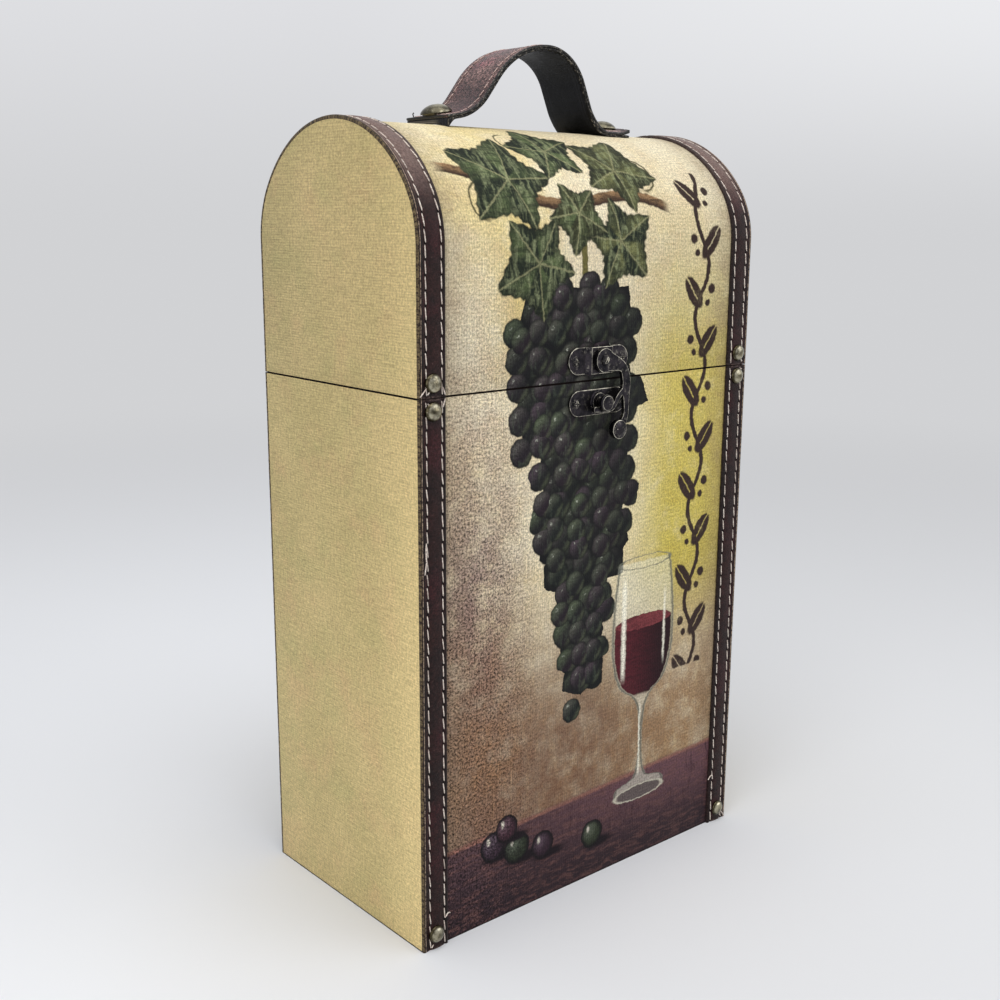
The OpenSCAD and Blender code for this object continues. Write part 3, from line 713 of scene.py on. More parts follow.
def grapes(pitch, seed, fullness, shadow, roundness):
    """A layer of round cells inside the bunch, each shaded as a ball."""
    cells = drawn.stretch((1 / pitch, 1 / pitch, 1), (seed, seed, 0))
    distance, cell_colour, middle = ink.add(
        "TexVoronoi", {"Vector": cells, "Scale": 1.0, "Randomness": 0.5}, out=(0, 1, 2),
        voronoi_dimensions="2D")
    middle_x, middle_s, _ = middle.split()
    middle_x = (middle_x - seed) * pitch
    middle_s = (middle_s - seed) * pitch
    height = middle_s.line(84.0, 286.0)
    axis = ink.calc("SINE", height * 5.0) * 4.0 - 10.0
    width = height.curve(bunch_outline) * (54.0 * fullness)
    reach = abs(middle_x - axis) - width
    kept = below(reach, 0, 0.02) * middle_s.ramp(84.0, 84.1) * below(middle_s, 286, 0.1)
    ball = below(distance, roundness, 0.03)
    offset = cells.vector("SUBTRACT", middle)
    lit = offset.vector("DOT_PRODUCT", (-0.9, 1.1, 0), out=1)
    back_lit = offset.vector("DOT_PRODUCT", (1.2, -0.9, 0), out=1)
    pick, warm, _ = cell_colour.split()
    body_tone = pick.mix((23, 27, 26), (34, 25, 33))
    lit_tone = warm.mix((84, 94, 72), (78, 64, 74))
    tone = lit.ramp(-0.2, 0.66).mix(body_tone, lit_tone)
    tone.lay(back_lit.ramp(0.3, 0.6, 0, 0.45), (96, 102, 78))
    tone.lay(strokes.ramp(0.5, 0.7, 0, 0.35), (96, 106, 88))
    tone.lay(distance.ramp(0.32, 0.5, 0, 0.9), (11, 12, 14))
    glint = offset.vector("SUBTRACT", (-0.17, 0.2, 0)).length()
    tone.lay(below(glint, 0.05, 0.06) * 0.8, (196, 200, 184))
    tone.lay(strokes.ramp(0.45, 0.7, 0, 0.3), (20, 22, 22))
    side = middle_x - axis
    tone.lay(side.ramp(-4, 34, 0, 0.5), (16, 16, 18))
    tone.lay(shadow, (14, 15, 17))
    picture.lay(kept * ball, tone)


stalk = line_at(s * 0.08 + x, 13.5, 1.7, 0.4) * s.ramp(262, 268) * below(s, 318, 2)
picture.lay(stalk, (98, 92, 52))
for layer in (
    (13.0, 5.3, 0.92, 0.6, 0.75), (13.6, 9.7, 1.0, 0.15, 0.48), (12.4, 2.1, 0.84, 0.0, 0.47),
):
    grapes(*layer)
for place in (
    (-36, 291, 23, 205, deep_green, mid_green), (12, 300, 21, -42, deep_green, moss),
    (-12, 312, 17, -100, olive, mid_green),
):
    leaf(*place)

# Goblet of red wine, standing on the table
goblet_x, goblet_foot, goblet_top = 34.0, 34.0, 152.0
goblet_outline = [
    (0, 0.36), (0.03, 0.36), (0.07, 0.1), (0.12, 0.05), (0.36, 0.05), (0.42, 0.12), (0.49, 0.33),
    (0.6, 0.43), (0.72, 0.445), (0.86, 0.42), (1, 0.37),
]
glass_height = s.line(goblet_foot, goblet_top)
glass_width = glass_height.curve(goblet_outline) * 48.0
from_axis = x - goblet_x
glass_off = abs(from_axis) - glass_width
upright = s.ramp(goblet_foot - 0.6, goblet_foot + 0.6) * below(s, goblet_top, 0.5)
glass = below(glass_off, 0, 0.5) * upright
glass_edge = line_at(glass_off, -0.8, 0.75, 0.6) * upright
picture.lay(glass * 0.34, (226, 226, 208))
wine = below(glass_off, -1.8, 0.5) * s.ramp(84, 86) * below(s, 122, 0.4)
wine_top = oval(goblet_x, 122, 19.4, 3.6)
wine |= below(wine_top, 1.0, 0.04)
wine_tone = from_axis.ramp(-20, 16).mix((84, 30, 38), (34, 12, 18))
wine_tone.lay(below(wine_top, 1.0, 0.05), (112, 52, 56))
wine_tone.lay(cross_strokes.ramp(0.4, 0.7, 0, 0.4), (30, 8, 16))
picture.lay(wine, wine_tone)
picture.lay(glass_edge * 0.75, (70, 74, 66))
mouth = line_at(oval(goblet_x, goblet_top - 0.5, 17.4, 3.2), 1.0, 0.06, 0.06)
picture.lay(mouth * 0.85, (110, 112, 98))
foot = oval(goblet_x, goblet_foot, 17.5, 3.8)
picture.lay(below(foot, 1.0, 0.05), (92, 82, 80))
picture.lay(line_at(foot, 0.96, 0.06, 0.08), (196, 190, 172))
shine = line_at(from_axis, -13.5, 1.3, 0.9) * s.ramp(92, 100) * below(s, 143, 6)
shine |= line_at(from_axis, 14.5, 0.6, 0.7) * s.ramp(96, 104) * below(s, 134, 6)
shine |= line_at(from_axis, -0.9, 0.45, 0.5) * s.ramp(42, 46) * below(s, 80, 4)
picture.lay(shine * 0.85, (238, 234, 216))

# Loose grapes lying on the table
for at_x, at_s, radius, tint in (
    (-60, 36, 7.2, (50, 36, 46)), (-46, 31, 7.6, (42, 48, 36)), (-52, 42, 6.6, (58, 36, 44)),
    (-30, 27, 6.8, (48, 32, 42)), (2, 22, 7.0, (46, 52, 38)),
):
    shade_below = oval(at_x + 4, at_s - radius * 0.8, radius * 1.5, radius * 0.42)
    picture.lay(below(shade_below, 0.9, 0.35), (22, 14, 20))
    ball = oval(at_x, at_s, radius, radius)
    lit = oval(at_x - radius * 0.3, at_s + radius * 0.35, radius, radius)
    tone = lit.ramp(0.1, 1.0).mix([part + 34 for part in tint], tint)
    tone.lay(strokes.ramp(0.45, 0.7, 0, 0.45), (24, 18, 22))
    tone.lay(ball.ramp(0.55, 1.0), (16, 13, 16))
    glint = oval(at_x - radius * 0.36, at_s + radius * 0.4, 0.9, 1.5)
    tone.lay(below(glint, 1, 0.6), (186, 180, 166))
    picture.lay(below(ball, 1.0, 0.05), tone)

# Scroll of leaves and berries down the right side
scroll_turn = s * (2 * math.pi / 46)
scroll_mid = ink.calc("SINE", scroll_turn) * 4.2 + 67.0
scroll_ends = s.ramp(92, 93) * below(s, 334, 0.6)
stem = line_at(x, scroll_mid, 1.35, 0.4) * scroll_ends
# Half waves of 23 mm: leaves on alternate sides, a berry across from each
half_wave = (s - 11.5) * (1 / 23)
wave_number = ink.calc("FLOOR", half_wave)
leaf_side = ink.calc("MODULO", wave_number, 2.0) * -2.0 + 1.0
in_wave = (ink.calc("FRACT", half_wave) - 0.5) * 23.0
outward = (x - 67.0) * leaf_side
tilt = math.radians(52)
blade_a = (outward - 5.5) * math.cos(tilt) + in_wave * math.sin(tilt)
blade_b = in_wave * math.cos(tilt) - (outward - 5.5) * math.sin(tilt)
blade = oval(0, 0, 9.0, 4.3, blade_a, blade_b)
blade_slit = line_at(blade_b, 0, 0.32, 0.3) * blade_a.ramp(-6, -4)
blade_fill = below(blade, 1, 0.1) * scroll_ends - blade_slit * 0.8
berry = below(oval(-6.8, 1.5, 2.3, 2.3, outward, in_wave), 1, 0.2)
second_berry = below(oval(-4.2, -4.8, 1.7, 1.7, outward, in_wave), 1, 0.25)
scroll = stem | blade_fill | (berry | second_berry) * scroll_ends
scroll_wear = mottle.ramp(0.25, 0.45, 0.82, 1.0)
picture.lay(scroll * scroll_wear, (50, 36, 32))

# The canvas itself: threads show through the ink, more where it lies thin
thread_wander = plain.noise(0.5, 2)
thread_x = ink.calc("SINE", plain_x * (2 * math.pi / 1.3) + thread_wander * 4.0)
thread_s = ink.calc("SINE", plain_s * (2 * math.pi / 1.7) + thread_wander * 4.0)
slubs = plain.stretch((0.09, 1.5, 1)).noise(1.0, 3, 0.6)
# Ink broke up into coarse grain where the washes are darkest
speck = plain.noise(0.9, 4, 0.85)
coarse = mauve * 0.9 + 0.34
for shade in (
    (speck, 0.34, 0.66, coarse), (slubs, 0.3, 0.7, 0.07), (thread_x, -1, 1, 0.06),
    (thread_s, -1, 1, 0.03),
):
    picture.speckle(*shade)
grain = slubs * 1.2 + (thread_x | thread_s) * 0.4
printed_canvas = ink.use(picture, ink.bump(grain, 0.4, 0.0002))

stitch_uv(flat_sheet(
    "body_front_canvas", (cloth_t - half_w, -half_d, 0),
    (half_w - cloth_t, cloth_t - half_d, rim_z - short), printed_canvas, "printed_canvas"))

arch_end = 2 * crown_s - lid_z
lid_canvas = block(
    "lid_canvas_sheet",
    (cloth_t - half_w, -cloth_t, lid_z + short), (half_w - cloth_t, 0, arch_end - short))
flat_part = spring_z - 0.002
cuts(lid_canvas, "z", [
    flat_part + (2 * crown_s - 2 * flat_part) * k / 110 for k in range(111)])
soften(lid_canvas, 0.00022, 2, 60)
stitch_uv(lid_canvas)
reshape(lid_canvas, lambda at: Vector((at.x, *on_arch(at.z, at.y))))
smooth(lid_canvas)
fit_out(lid_canvas, "lid", printed_canvas, "printed_canvas", "lid_canvas")

# ---- Stitched trims ------------------------------------------------------
# Strips of dark brown leathercloth, pasted down each corner and over the lid.
# Two rows of cream thread pull small puckers into them; their edges are raw.
trim_w, trim_t = 0.0135, 0.0017
row_in, outer_row_in, stitch_pitch, end_gap = 0.0021, 0.0036, 0.0059, 0.0005
thread_r, stitch_off = 0.00027, 0.0013
# Across a seam, and how high the leather stands there
seam_profile = ((-0.0006, 0.00142), (0, 0.00106), (0.0006, 0.00142))
pucker_deep, pucker_wide = 0.0003, 0.0012
waviness, fray_reach = 0.00012, 0.00022


def upright(edge):
    run = edge.verts[1].co - edge.verts[0].co
    return abs(run.z) > 0.99 * run.length


def stretch_between(value, knots):
    """Reads a value off a line drawn through (place, height) knots."""
    for (a, at_a), (b, at_b) in zip(knots, knots[1:]):
        if value <= b:
            share = max(0.0, (value - a) / (b - a))
            share = share * share * (3 - 2 * share)
            return at_a + (at_b - at_a) * share
    return knots[-1][1]


def leather(name, dark, base, lit, mottle, rough, gleam, own_marks):
    """Grained leathercloth: worn along its edges, which also carry a painted highlight,
    and painted dark as shade where it is drawn in.
    own_marks adds what only this leather shows, given the finish and its tone."""
    hide = Finish(name, Roughness=rough, Specular_IOR_Level=gleam)
    at = hide.place()
    cells = hide.add("TexVoronoi", {"Vector": at, "Scale": 1300.0, "Randomness": 0.9},
                     feature="DISTANCE_TO_EDGE")
    creases = cells.ramp(0.02, 0.22)
    pebble = at.noise(1000, 4, 0.8)
    fine = at.noise(3200, 3, 0.6)
    cloud = at.noise(90, 4, 0.65)
    patch = at.noise(34, 3, 0.5)
    fray = at.noise(1300, 3, 0.7)
    tone = cloud.ramp(0.3, 0.7).mix(dark, base)
    tone.lay(patch.ramp(0.48, 0.68, 0, 0.8), mottle)
    tone.lay(creases.ramp(0.6, 0.1, 0, 0.4), dark)
    tone.speckle(pebble, 0.3, 0.7, 0.65)
    # Painted highlights: the tops of the pebble grain are painted lighter
    tone.lay(pebble.ramp(0.62, 0.74, 0, 0.5), lit)
    pointed = hide.add("NewGeometry", out="Pointiness")
    # Painted shade: hollows where the leather is drawn in are painted near black
    tone.lay(pointed.ramp(0.495, 0.46, 0, 0.9), (12, 8, 8))
    # Wear and painted highlight: the sharp edges are painted lighter, in broken specks
    worn = pointed.ramp(0.53, 0.58) * fray.ramp(0.42, 0.6)
    tone.lay(worn * 0.6, lit)
    own_marks(hide, tone)
    height = creases * 0.7 + fine * 0.35 + pebble * 0.8
    gloss = cloud.ramp(0.25, 0.8, rough - 0.07, rough + 0.12)
    return hide.use(tone, hide.bump(height, 0.45, 0.00025), gloss)


def trim_edge(hide, tone):
    """A lighter tone painted where a trim runs over the lid, as painted light from above;
    its raw outer edge with the backing showing, the pale line beside it, painted shade
    in two folds along that edge, and painted shade along the inner edge."""
    at = hide.place()
    _, _, up = at.split()
    painted_top_light = at.noise(1000, 4, 0.8).ramp(0.32, 0.68).mix((88, 68, 64), (138, 116, 108))
    # Painted light: the trim is painted lighter where it runs over the lid
    tone.lay(up.ramp(0.311, 0.337, 0, 0.88), painted_top_light)
    inward, along, _ = hide.cloth_map().scaled(100.0).split()
    nibble = hide.join(inward, along * 0.6).noise(1.1, 4, 0.75)
    slow = hide.join(0.0, along).noise(0.12, 2)
    inward = (slow - 0.5) * 0.5 + inward
    raw = nibble.ramp(0.42, 0.6).mix((36, 26, 20), (112, 96, 70))
    tone.lay(inward.ramp(0.85, 0.55), raw)
    pale_line = abs(inward - 1.1).ramp(0.3, 0.12) * nibble.ramp(0.4, 0.58)
    tone.lay(pale_line, (172, 150, 128))
    # Painted shade in two folds along the outer edge
    for middle, half in ((0.65, 0.22), (1.75, 0.42)):
        shaded_fold = abs(inward - middle)
        tone.lay(shaded_fold.ramp(half, half * 0.4, 0, 0.85), (12, 8, 8))
    # Painted shade along the inner edge, where the leather slopes down
    inner_edge_shade = inward.ramp(trim_w * 1000 - 2.0, trim_w * 1000 - 1.3)
    tone.lay(inner_edge_shade * 0.7, (13, 9, 9))


trim_leather = leather(
    "trim_leather", (26, 15, 15), (46, 25, 23), (112, 92, 86), (58, 24, 28),
    0.42, 0.16, trim_edge)


def thread(name, shade, light):
    """Twisted cotton, soiled in places by the hands that carried the box."""
    cotton = Finish(name, Roughness=0.75, Sheen_Weight=0.2)
    at = cotton.place()
    ply = at.noise(1400, 2, 0.6)
    tone = ply.ramp(0.3, 0.7).mix(shade, light)
    soil = at.noise(75, 4, 0.7)
    tone.lay(soil.ramp(0.5, 0.66, 0, 0.55), (88, 66, 58))
    return cotton.use(tone, cotton.bump(ply, 0.5, 0.0002))


stitching_thread = thread("stitching_thread", (178, 158, 146), (238, 228, 216))


def one_stitch():
    """A single stitch of twice the unit length, blunt at both ends."""
    fresh()
    bpy.ops.mesh.primitive_uv_sphere_add(segments=8, ring_count=6, radius=1)
    stitch = bpy.context.object
    for vertex in stitch.data.vertices:
        height = min(1.0, abs(vertex.co.z))
        if 0.01 < height < 0.99:
            fuller = math.sqrt((1 - height ** 6) / (1 - height ** 2))
            vertex.co.x *= fuller
            vertex.co.y *= fuller
    stitch.scale = (thread_r, thread_r, 1)
    bpy.ops.object.transform_apply(location=True, rotation=True, scale=True)
    return stitch


stitch_shape = one_stitch()


def copies_at(name, pattern, places):
    """One piece made of copies of a pattern, each placed by a matrix."""
    parts = []
    for matrix in places:
        part = bpy.data.objects.new(name, pattern.data.copy())
        bpy.context.collection.objects.link(part)
        part.data.transform(matrix)
        parts.append(part)
    fresh()
    for part in parts:
        part.select_set(True)
    bpy.context.view_layer.objects.active = parts[0]
    bpy.ops.object.join()
    parts[0].name = parts[0].data.name = name
    return parts[0]


def sew(name, ends, where):
    """Stitches between pairs of (across, off, along) points, then laid in place."""
    places = []
    for start, end in ends:
        start, end = Vector(start), Vector(end)
        run = end - start
        turn = run.to_track_quat("Z", "Y").to_matrix().to_4x4()
        size = Matrix.Diagonal((1, 1, run.length / 2 + 0.00012, 1))
        places.append(Matrix.Translation((start + end) / 2) @ turn @ size)
    row = copies_at(name, stitch_shape, places)
    reshape(row, where)
    smooth(row, 80)
    return row


def stitch_rows(rows, low, high, off, seed, lean=1, spacing=stitch_pitch, gap=0.001):
    """Pairs of ends for the stitches of straight rows from low to high."""
    chance = random.Random(seed)
    count = round((high - low) / spacing)
    pitch = (high - low) / count
    ends = []
    for across in rows:
        for k in range(count):
            slant = lean * chance.uniform(0.0001, 0.0004)
            shift = chance.uniform(-0.00015, 0.00015)
            start = (across + slant, off, low + k * pitch + gap / 2 + shift)
            end = (across - slant, off, low + (k + 1) * pitch - gap / 2 + shift)
            ends.append((start, end))
    return ends, pitch


def loose_ends(rows, inner, outer, low, high, seed):
    """Thread ends that were left at the ends of a trim, pulled over to one side."""
    chance = random.Random(seed)
    ends = []
    for end, way in ((low, 1), (high, -1)):
        for row, reach in ((rows[1], outer - 0.0004), (rows[0], inner + 0.0006)):
            start = (reach, 0.0015, end + way * chance.uniform(0.0003, 0.001))
            finish = (row, 0.0019, end + way * chance.uniform(0.0032, 0.0046))
            if chance.random() < 0.6:
                ends.append((start, finish))
        curl = rows[0] + 0.0006 if chance.random() < 0.5 else rows[1] - 0.0012
        tip = (curl + 0.001, 0.0021, end + way * 0.0016)
        ends.append(((curl, 0.0019, end + way * 0.0026), tip))
    return ends


def trim_strip(name, side, low, high, body, node):
    """One trim from low to high along the wall, with its puckers and stitches."""
    inner, outer = half_w - trim_w, half_w
    strip = block(name, (inner, 0, low), (outer, trim_t, high))
    steps = math.ceil(math.sqrt((high - low) / stitch_pitch * 5))
    for _ in range(2):
        choose(strip, "edges", upright)
        bpy.ops.mesh.subdivide(number_cuts=steps - 1)
    rows = (inner + row_in, outer - outer_row_in)
    seams = [(row + step, height) for row in rows for step, height in seam_profile]
    middle = half_w - trim_w / 2
    cuts(strip, "x", sorted([
        inner + 0.0003, inner + 0.0010, inner + trim_w * 0.36, middle, outer - trim_w * 0.36,
        outer - 0.0018, outer - 0.0010, outer - 0.0003, *(across for across, _ in seams)]))
    profile = sorted([
        (inner, 0.0009), (inner + 0.0004, 0.00138), (inner + 0.0013, 0.00158),
        (rows[0] + 0.0016, 0.00164), (middle, trim_t), (rows[1] - 0.0016, 0.00164),
        (outer - 0.0018, 0.00138), (outer - 0.0010, 0.00164), (outer - 0.0004, 0.00146),
        (outer, 0.0010), *seams])
    ends, pitch = stitch_rows(rows, low + end_gap, high - end_gap, stitch_off, name, side)

    def pucker(at):
        near_row = min(abs(at.x - row) for row in rows)
        phase = math.cos(2 * math.pi * (at.z - low - end_gap) / pitch)
        pull = pucker_deep * max(0.0, phase) ** 3 * math.exp(-((near_row / pucker_wide) ** 2))
        drift = noise.noise(Vector((at.x * 60, side * 7.0, at.z * 45))) * waviness
        fray = 0.0
        if min(at.x - inner, outer - at.x) < 0.0001:
            fray = noise.noise(Vector((side * 3.0, at.x * 90, at.z * 420))) * fray_reach
        across = min(outer, at.x + fray if at.x > middle else at.x - fray)
        if at.y < trim_t / 2:
            return Vector((side * across, *on_arch(at.z, 0)))
        top = min(trim_t, stretch_between(at.x, profile) - pull + drift)
        return Vector((side * across, *on_arch(at.z, top)))

    stitch_uv(strip, lambda at: ((outer - at.x) * 10, at.z * 10))
    reshape(strip, pucker)
    face_outward(strip)
    smooth(strip, 50)
    fit_out(strip, body, trim_leather, "trim_leather", node)
    sewing = sew(
        name + "_stitches", ends + loose_ends(rows, inner, outer, low, high, name + "_ends"),
        lambda at: Vector((side * at.x, *on_arch(at.z, at.y))))
    if side < 0:
        work(sewing, bpy.ops.mesh.flip_normals)
    fit_out(sewing, body, stitching_thread, "trim_leather")


far_rim = 2 * crown_s - rim_z
far_base = 2 * crown_s
for side, name in ((-1, "left"), (1, "right")):
    trim_strip(f"body_front_{name}_trim", side, 0, rim_z, "body", f"body_trim_front_{name}")
    trim_strip(f"body_back_{name}_trim", side, far_rim, far_base, "body", f"body_trim_back_{name}")
    trim_strip(f"lid_{name}_trim", side, lid_z, arch_end, "lid", f"lid_trim_{name}")


def strand(name, *lines):
    """Loose thread, drawn through lines of points."""
    pieces = [pair for line in lines for pair in zip(line, line[1:])]
    return sew(name, pieces, lambda at: at)


pulled_threads = strand(
    "trim_pulled_threads",
    [(0.0886, -0.0588, 0.0245), (0.0873, -0.0595, 0.0275), (0.0850, -0.0601, 0.0276),
     (0.0832, -0.0603, 0.0262)],
    [(-0.0972, -0.0587, 0.1822), (-0.0978, -0.0592, 0.1785), (-0.0976, -0.0593, 0.1745),
     (-0.0981, -0.0588, 0.1690)],
    [(-0.0887, -0.0588, 0.0130), (-0.0872, -0.0593, 0.0152), (-0.0860, -0.0590, 0.0146)],
)
fit_out(pulled_threads, "body", stitching_thread, "trim_leather")

# ---- Trim nails ----------------------------------------------------------
# Domed upholstery nails of aged brass hold the ends of every trim. Each was
# struck by hand, so none sits quite square.


def turned(name, rings, segments=40):
    """A turned shape: rings of (radius, height) from the outside in, up +Z."""
    fresh()
    first_r, first_z = rings[0]
    bpy.ops.mesh.primitive_circle_add(
        vertices=segments, radius=first_r, fill_type="NGON", location=(0, 0, first_z))
    piece = bpy.context.object
    piece.name = piece.data.name = name
    bpy.ops.object.transform_apply(location=True, rotation=True, scale=True)
    bpy.ops.object.mode_set(mode="EDIT")
    bpy.ops.mesh.select_all(action="SELECT")
    for (r0, z0), (r1, z1) in zip(rings, rings[1:]):
        bpy.ops.mesh.extrude_region_move(TRANSFORM_OT_translate={"value": (0, 0, z1 - z0)})
        if r1 > 0:
            bpy.ops.transform.resize(value=(r1 / r0, r1 / r0, 1), center_override=(0, 0, z1))
        else:
            bpy.ops.mesh.merge(type="CENTER")
    face_outward(piece)
    return piece


def metal(name, dark, base, bright, rough, wear, facing, flat):
    """Plated metal with a dark patina that has rubbed off along the edges. Slopes
    that face along none of the axes of facing are painted dark as painted shade and
    reflection, from where the cosine of the slope falls under flat."""
    plate = Finish(name, Metallic=0.92, Roughness=rough)
    at = plate.place()
    cloud = at.noise(260, 4, 0.6)
    pits = at.noise(1500, 3, 0.6)
    tone = cloud.ramp(0.32, 0.66).mix(dark, base)
    tone.lay(pits.ramp(0.58, 0.72, 0, 0.5), dark)
    turned_to = dict(zip("xyz", plate.add("TexCoord", out="Normal").split()))
    crown = 0.0
    for axis in facing:
        crown = abs(turned_to[axis]) | crown
    # Painted shade and reflection: slopes facing along none of these axes are painted dark
    tone.lay(crown.ramp(flat, flat - 0.28, 0, 0.85), dark)
    pointed = plate.add("NewGeometry", out="Pointiness")
    handled = at.noise(420, 3, 0.7)
    tone.lay(handled.ramp(0.54, 0.72, 0, 0.22 * wear), bright)
    rubbed = pointed.ramp(0.503, 0.532) * handled.ramp(0.36, 0.56, 0.2, 1)
    rubbed *= crown.ramp(0.76, 0.88)
    tone.lay(rubbed * wear, bright)
    gloss = cloud.ramp(0.3, 0.75, rough + 0.1, rough - 0.05)
    return plate.use(tone, plate.bump(pits, 0.12, 0.0001), gloss)


nail_brass = metal(
    "nail_brass", (44, 38, 22), (140, 132, 106), (236, 230, 206), 0.17, 0.6, "y", 0.95)
aged_brass = metal(
    "aged_brass", (66, 62, 50), (142, 136, 112), (214, 206, 180), 0.24, 0.6, "yz", 0.94)
nail_pattern = turned("nail_pattern", [
    (0.00385, 0), (0.004, 0.00015), (0.004, 0.0004), (0.00385, 0.0007), (0.0035, 0.00112),
    (0.003, 0.00148), (0.00235, 0.00182), (0.0016, 0.00206), (0.0008, 0.00218), (0, 0.0022),
])
smooth(nail_pattern, 60)
nail_x = half_w - trim_w / 2
nail_dice = random.Random("nails")
askew = (-2.5, 2.5)
sunk = 0.00012


def nail_places(heights):
    """Four nails at each height, every one struck a little askew."""
    return [
        spin(facing, "Z") @ Matrix.Translation((side * nail_x, -half_d - trim_t + sunk, height))
        @ spin(90, "X") @ spin(nail_dice.uniform(*askew), "X")
        @ spin(nail_dice.uniform(*askew), "Y")
        for height in heights for facing in (0, 180) for side in (-1, 1)]


for body, heights in (("body", (0.007, 0.235)), ("lid", (0.2462,))):
    nails = copies_at(f"{body}_nails", nail_pattern, nail_places(heights))
    fit_out(nails, body, nail_brass, "aged_brass", f"{body}_trim_nails")
bpy.data.objects.remove(nail_pattern)

# ---- Latch and hinges ----------------------------------------------------
# Stamped plates, hook and butt hinges in dark bronze plating, with the edges
# broken and rubbed bright. They keep the shapes of the frame's own solids.


def cast_copy(name, node, grain, body, material, slot):
    """A copy of a solid, made of even small faces and with its edges tumbled
    round; it stands for the solid."""
    piece = bpy.data.objects.new(name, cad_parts[node].data.copy())
    bpy.context.collection.objects.link(piece)
    work(piece, bpy.ops.mesh.remove_doubles, threshold=0.000002)
    modify(piece, "REMESH", mode="VOXEL", voxel_size=grain)
    modify(piece, "SMOOTH", factor=0.5, iterations=3)
    smooth(piece, 60)
    fit_out(piece, body, material, slot, node)


latch_bronze = metal(
    "latch_bronze", (18, 18, 23), (54, 50, 54), (214, 208, 190), 0.34, 1.0, "yz", 0.7)
plate_grain, screw_grain, hinge_grain = 0.00016, 0.00011, 0.00022
for name, node, grain, body in (
    ("latch_lid_plate", "latch_plate", plate_grain, "lid"),
    ("latch_catch_plate", "catch_plate", plate_grain, "body"),
    ("latch_swing_hook", "latch_hook", plate_grain, "hook"),
    ("latch_catch_stud", "catch_stud", plate_grain, "body"),
    ("latch_pivot_pin", "latch_pivot_rivet", plate_grain, "lid"),
    ("latch_lid_screws", "latch_screws", screw_grain, "lid"),
    ("latch_body_screws", "catch_screws", screw_grain, "body"),
):
    cast_copy(name, node, grain, body, latch_bronze, "latch_bronze")
for body in ("body", "lid"):
    leaves = f"hinge_{body}_leaves"
    cast_copy(f"hinge_{body}_pair", leaves, hinge_grain, body, aged_brass, "aged_brass")
finish_nodes(aged_brass, "hinge_pins", "hinge_body_screws", "hinge_lid_screws", "handle_washers")

# ---- Strap handle --------------------------------------------------------
# A brown leather strap sewn to a smooth black backing, bent into a high bow
# and held at both feet by a domed rivet. The pull of the bow lifts the left
# foot, and both feet follow the curved lid.
foot_z = 0.3508
handle_x, rivet_x = 0.005, 0.0503
strap_w, strap_t, backing_t, strap_corner_r = 0.028, 0.0013, 0.0011, 0.0007
strap_end, strap_rise, crown_shift, cut_back = 0.0576, 0.034, 0.003, 0.002
foot_lift, foot_raise = math.radians(9), 0.0009
strap_row_in, strap_pitch, short_stitch = 0.0034, 0.0042, 0.0034
groove_deep, groove_wide, edge_fall = 0.00022, 0.0008, 0.00018
curl_l, pad_l, cut_l, out_of_square = 0.0065, 0.0048, 0.006, 0.0007
rise_angle, fall_angle = math.radians(52), math.radians(67)
rise_foot_l, fall_foot_l = 0.0087, 0.0146
rise_bend_r, fall_bend_r = 0.024, 0.0145


def strap_side(run, base, foot_l, lift, slope, bend_r):
    """The top face of one side, from its end to the crown, as (x, z, heading)."""
    bend_x = foot_l * math.cos(lift) - bend_r * math.sin(lift) - run
    bend_z = base + foot_l * math.sin(lift) + bend_r * math.cos(lift)
    x = -bend_x - bend_r * math.sin(slope)
    z = strap_rise - bend_z + bend_r * math.cos(slope)
    bow_r = (x - z / math.tan(slope)) / math.tan(slope / 2)
    line = [(-run, base, lift)]
    steps = 24
    for k in range(steps + 1):
        a = lift + (slope - lift) * k / steps
        line.append((bend_x + bend_r * math.sin(a), bend_z - bend_r * math.cos(a), a))
    for k in range(steps + 1):
        a = slope * (1 - k / steps)
        line.append((-bow_r * math.sin(a), strap_rise - bow_r * (1 - math.cos(a)), a))
    return line


rising = strap_side(
    strap_end + crown_shift, foot_raise, rise_foot_l, foot_lift, rise_angle, rise_bend_r)
falling = strap_side(strap_end - crown_shift, 0, fall_foot_l, 0, fall_angle, fall_bend_r)
strap_line = [(crown_shift + x, z, a) for x, z, a in rising]
strap_line += [(crown_shift - x, z, -a) for x, z, a in reversed(falling)]
strap_knots = []
strap_length = 0.0
for knot in strap_line:
    if strap_knots:
        step = math.hypot(knot[0] - strap_knots[-1][1], knot[1] - strap_knots[-1][2])
        if step < 1e-7:
            continue
        strap_length += step
    strap_knots.append((strap_length, *knot))


def on_strap(along, across, off):
    """The point at a length along the strap and a height off its top face."""
    along = min(max(along, 0), strap_length)
    for a, b in zip(strap_knots, strap_knots[1:]):
        if along <= b[0]:
            share = (along - a[0]) / (b[0] - a[0])
            break
    x, z, heading = (a[i] + (b[i] - a[i]) * share for i in (1, 2, 3))
    x -= off * math.sin(heading)
    z += off * math.cos(heading)
    # The right foot sags over the curve of the lid; the left one stays stiff
    droop = 0.0 if along < strap_length / 2 else 0.92
    lie = max(0.0, 1 - max(z, 0.0) / 0.006)
    z -= lie * lie * (crown_r - math.sqrt(crown_r ** 2 - across ** 2)) * droop
    return Vector((handle_x + x, across, foot_z + z))


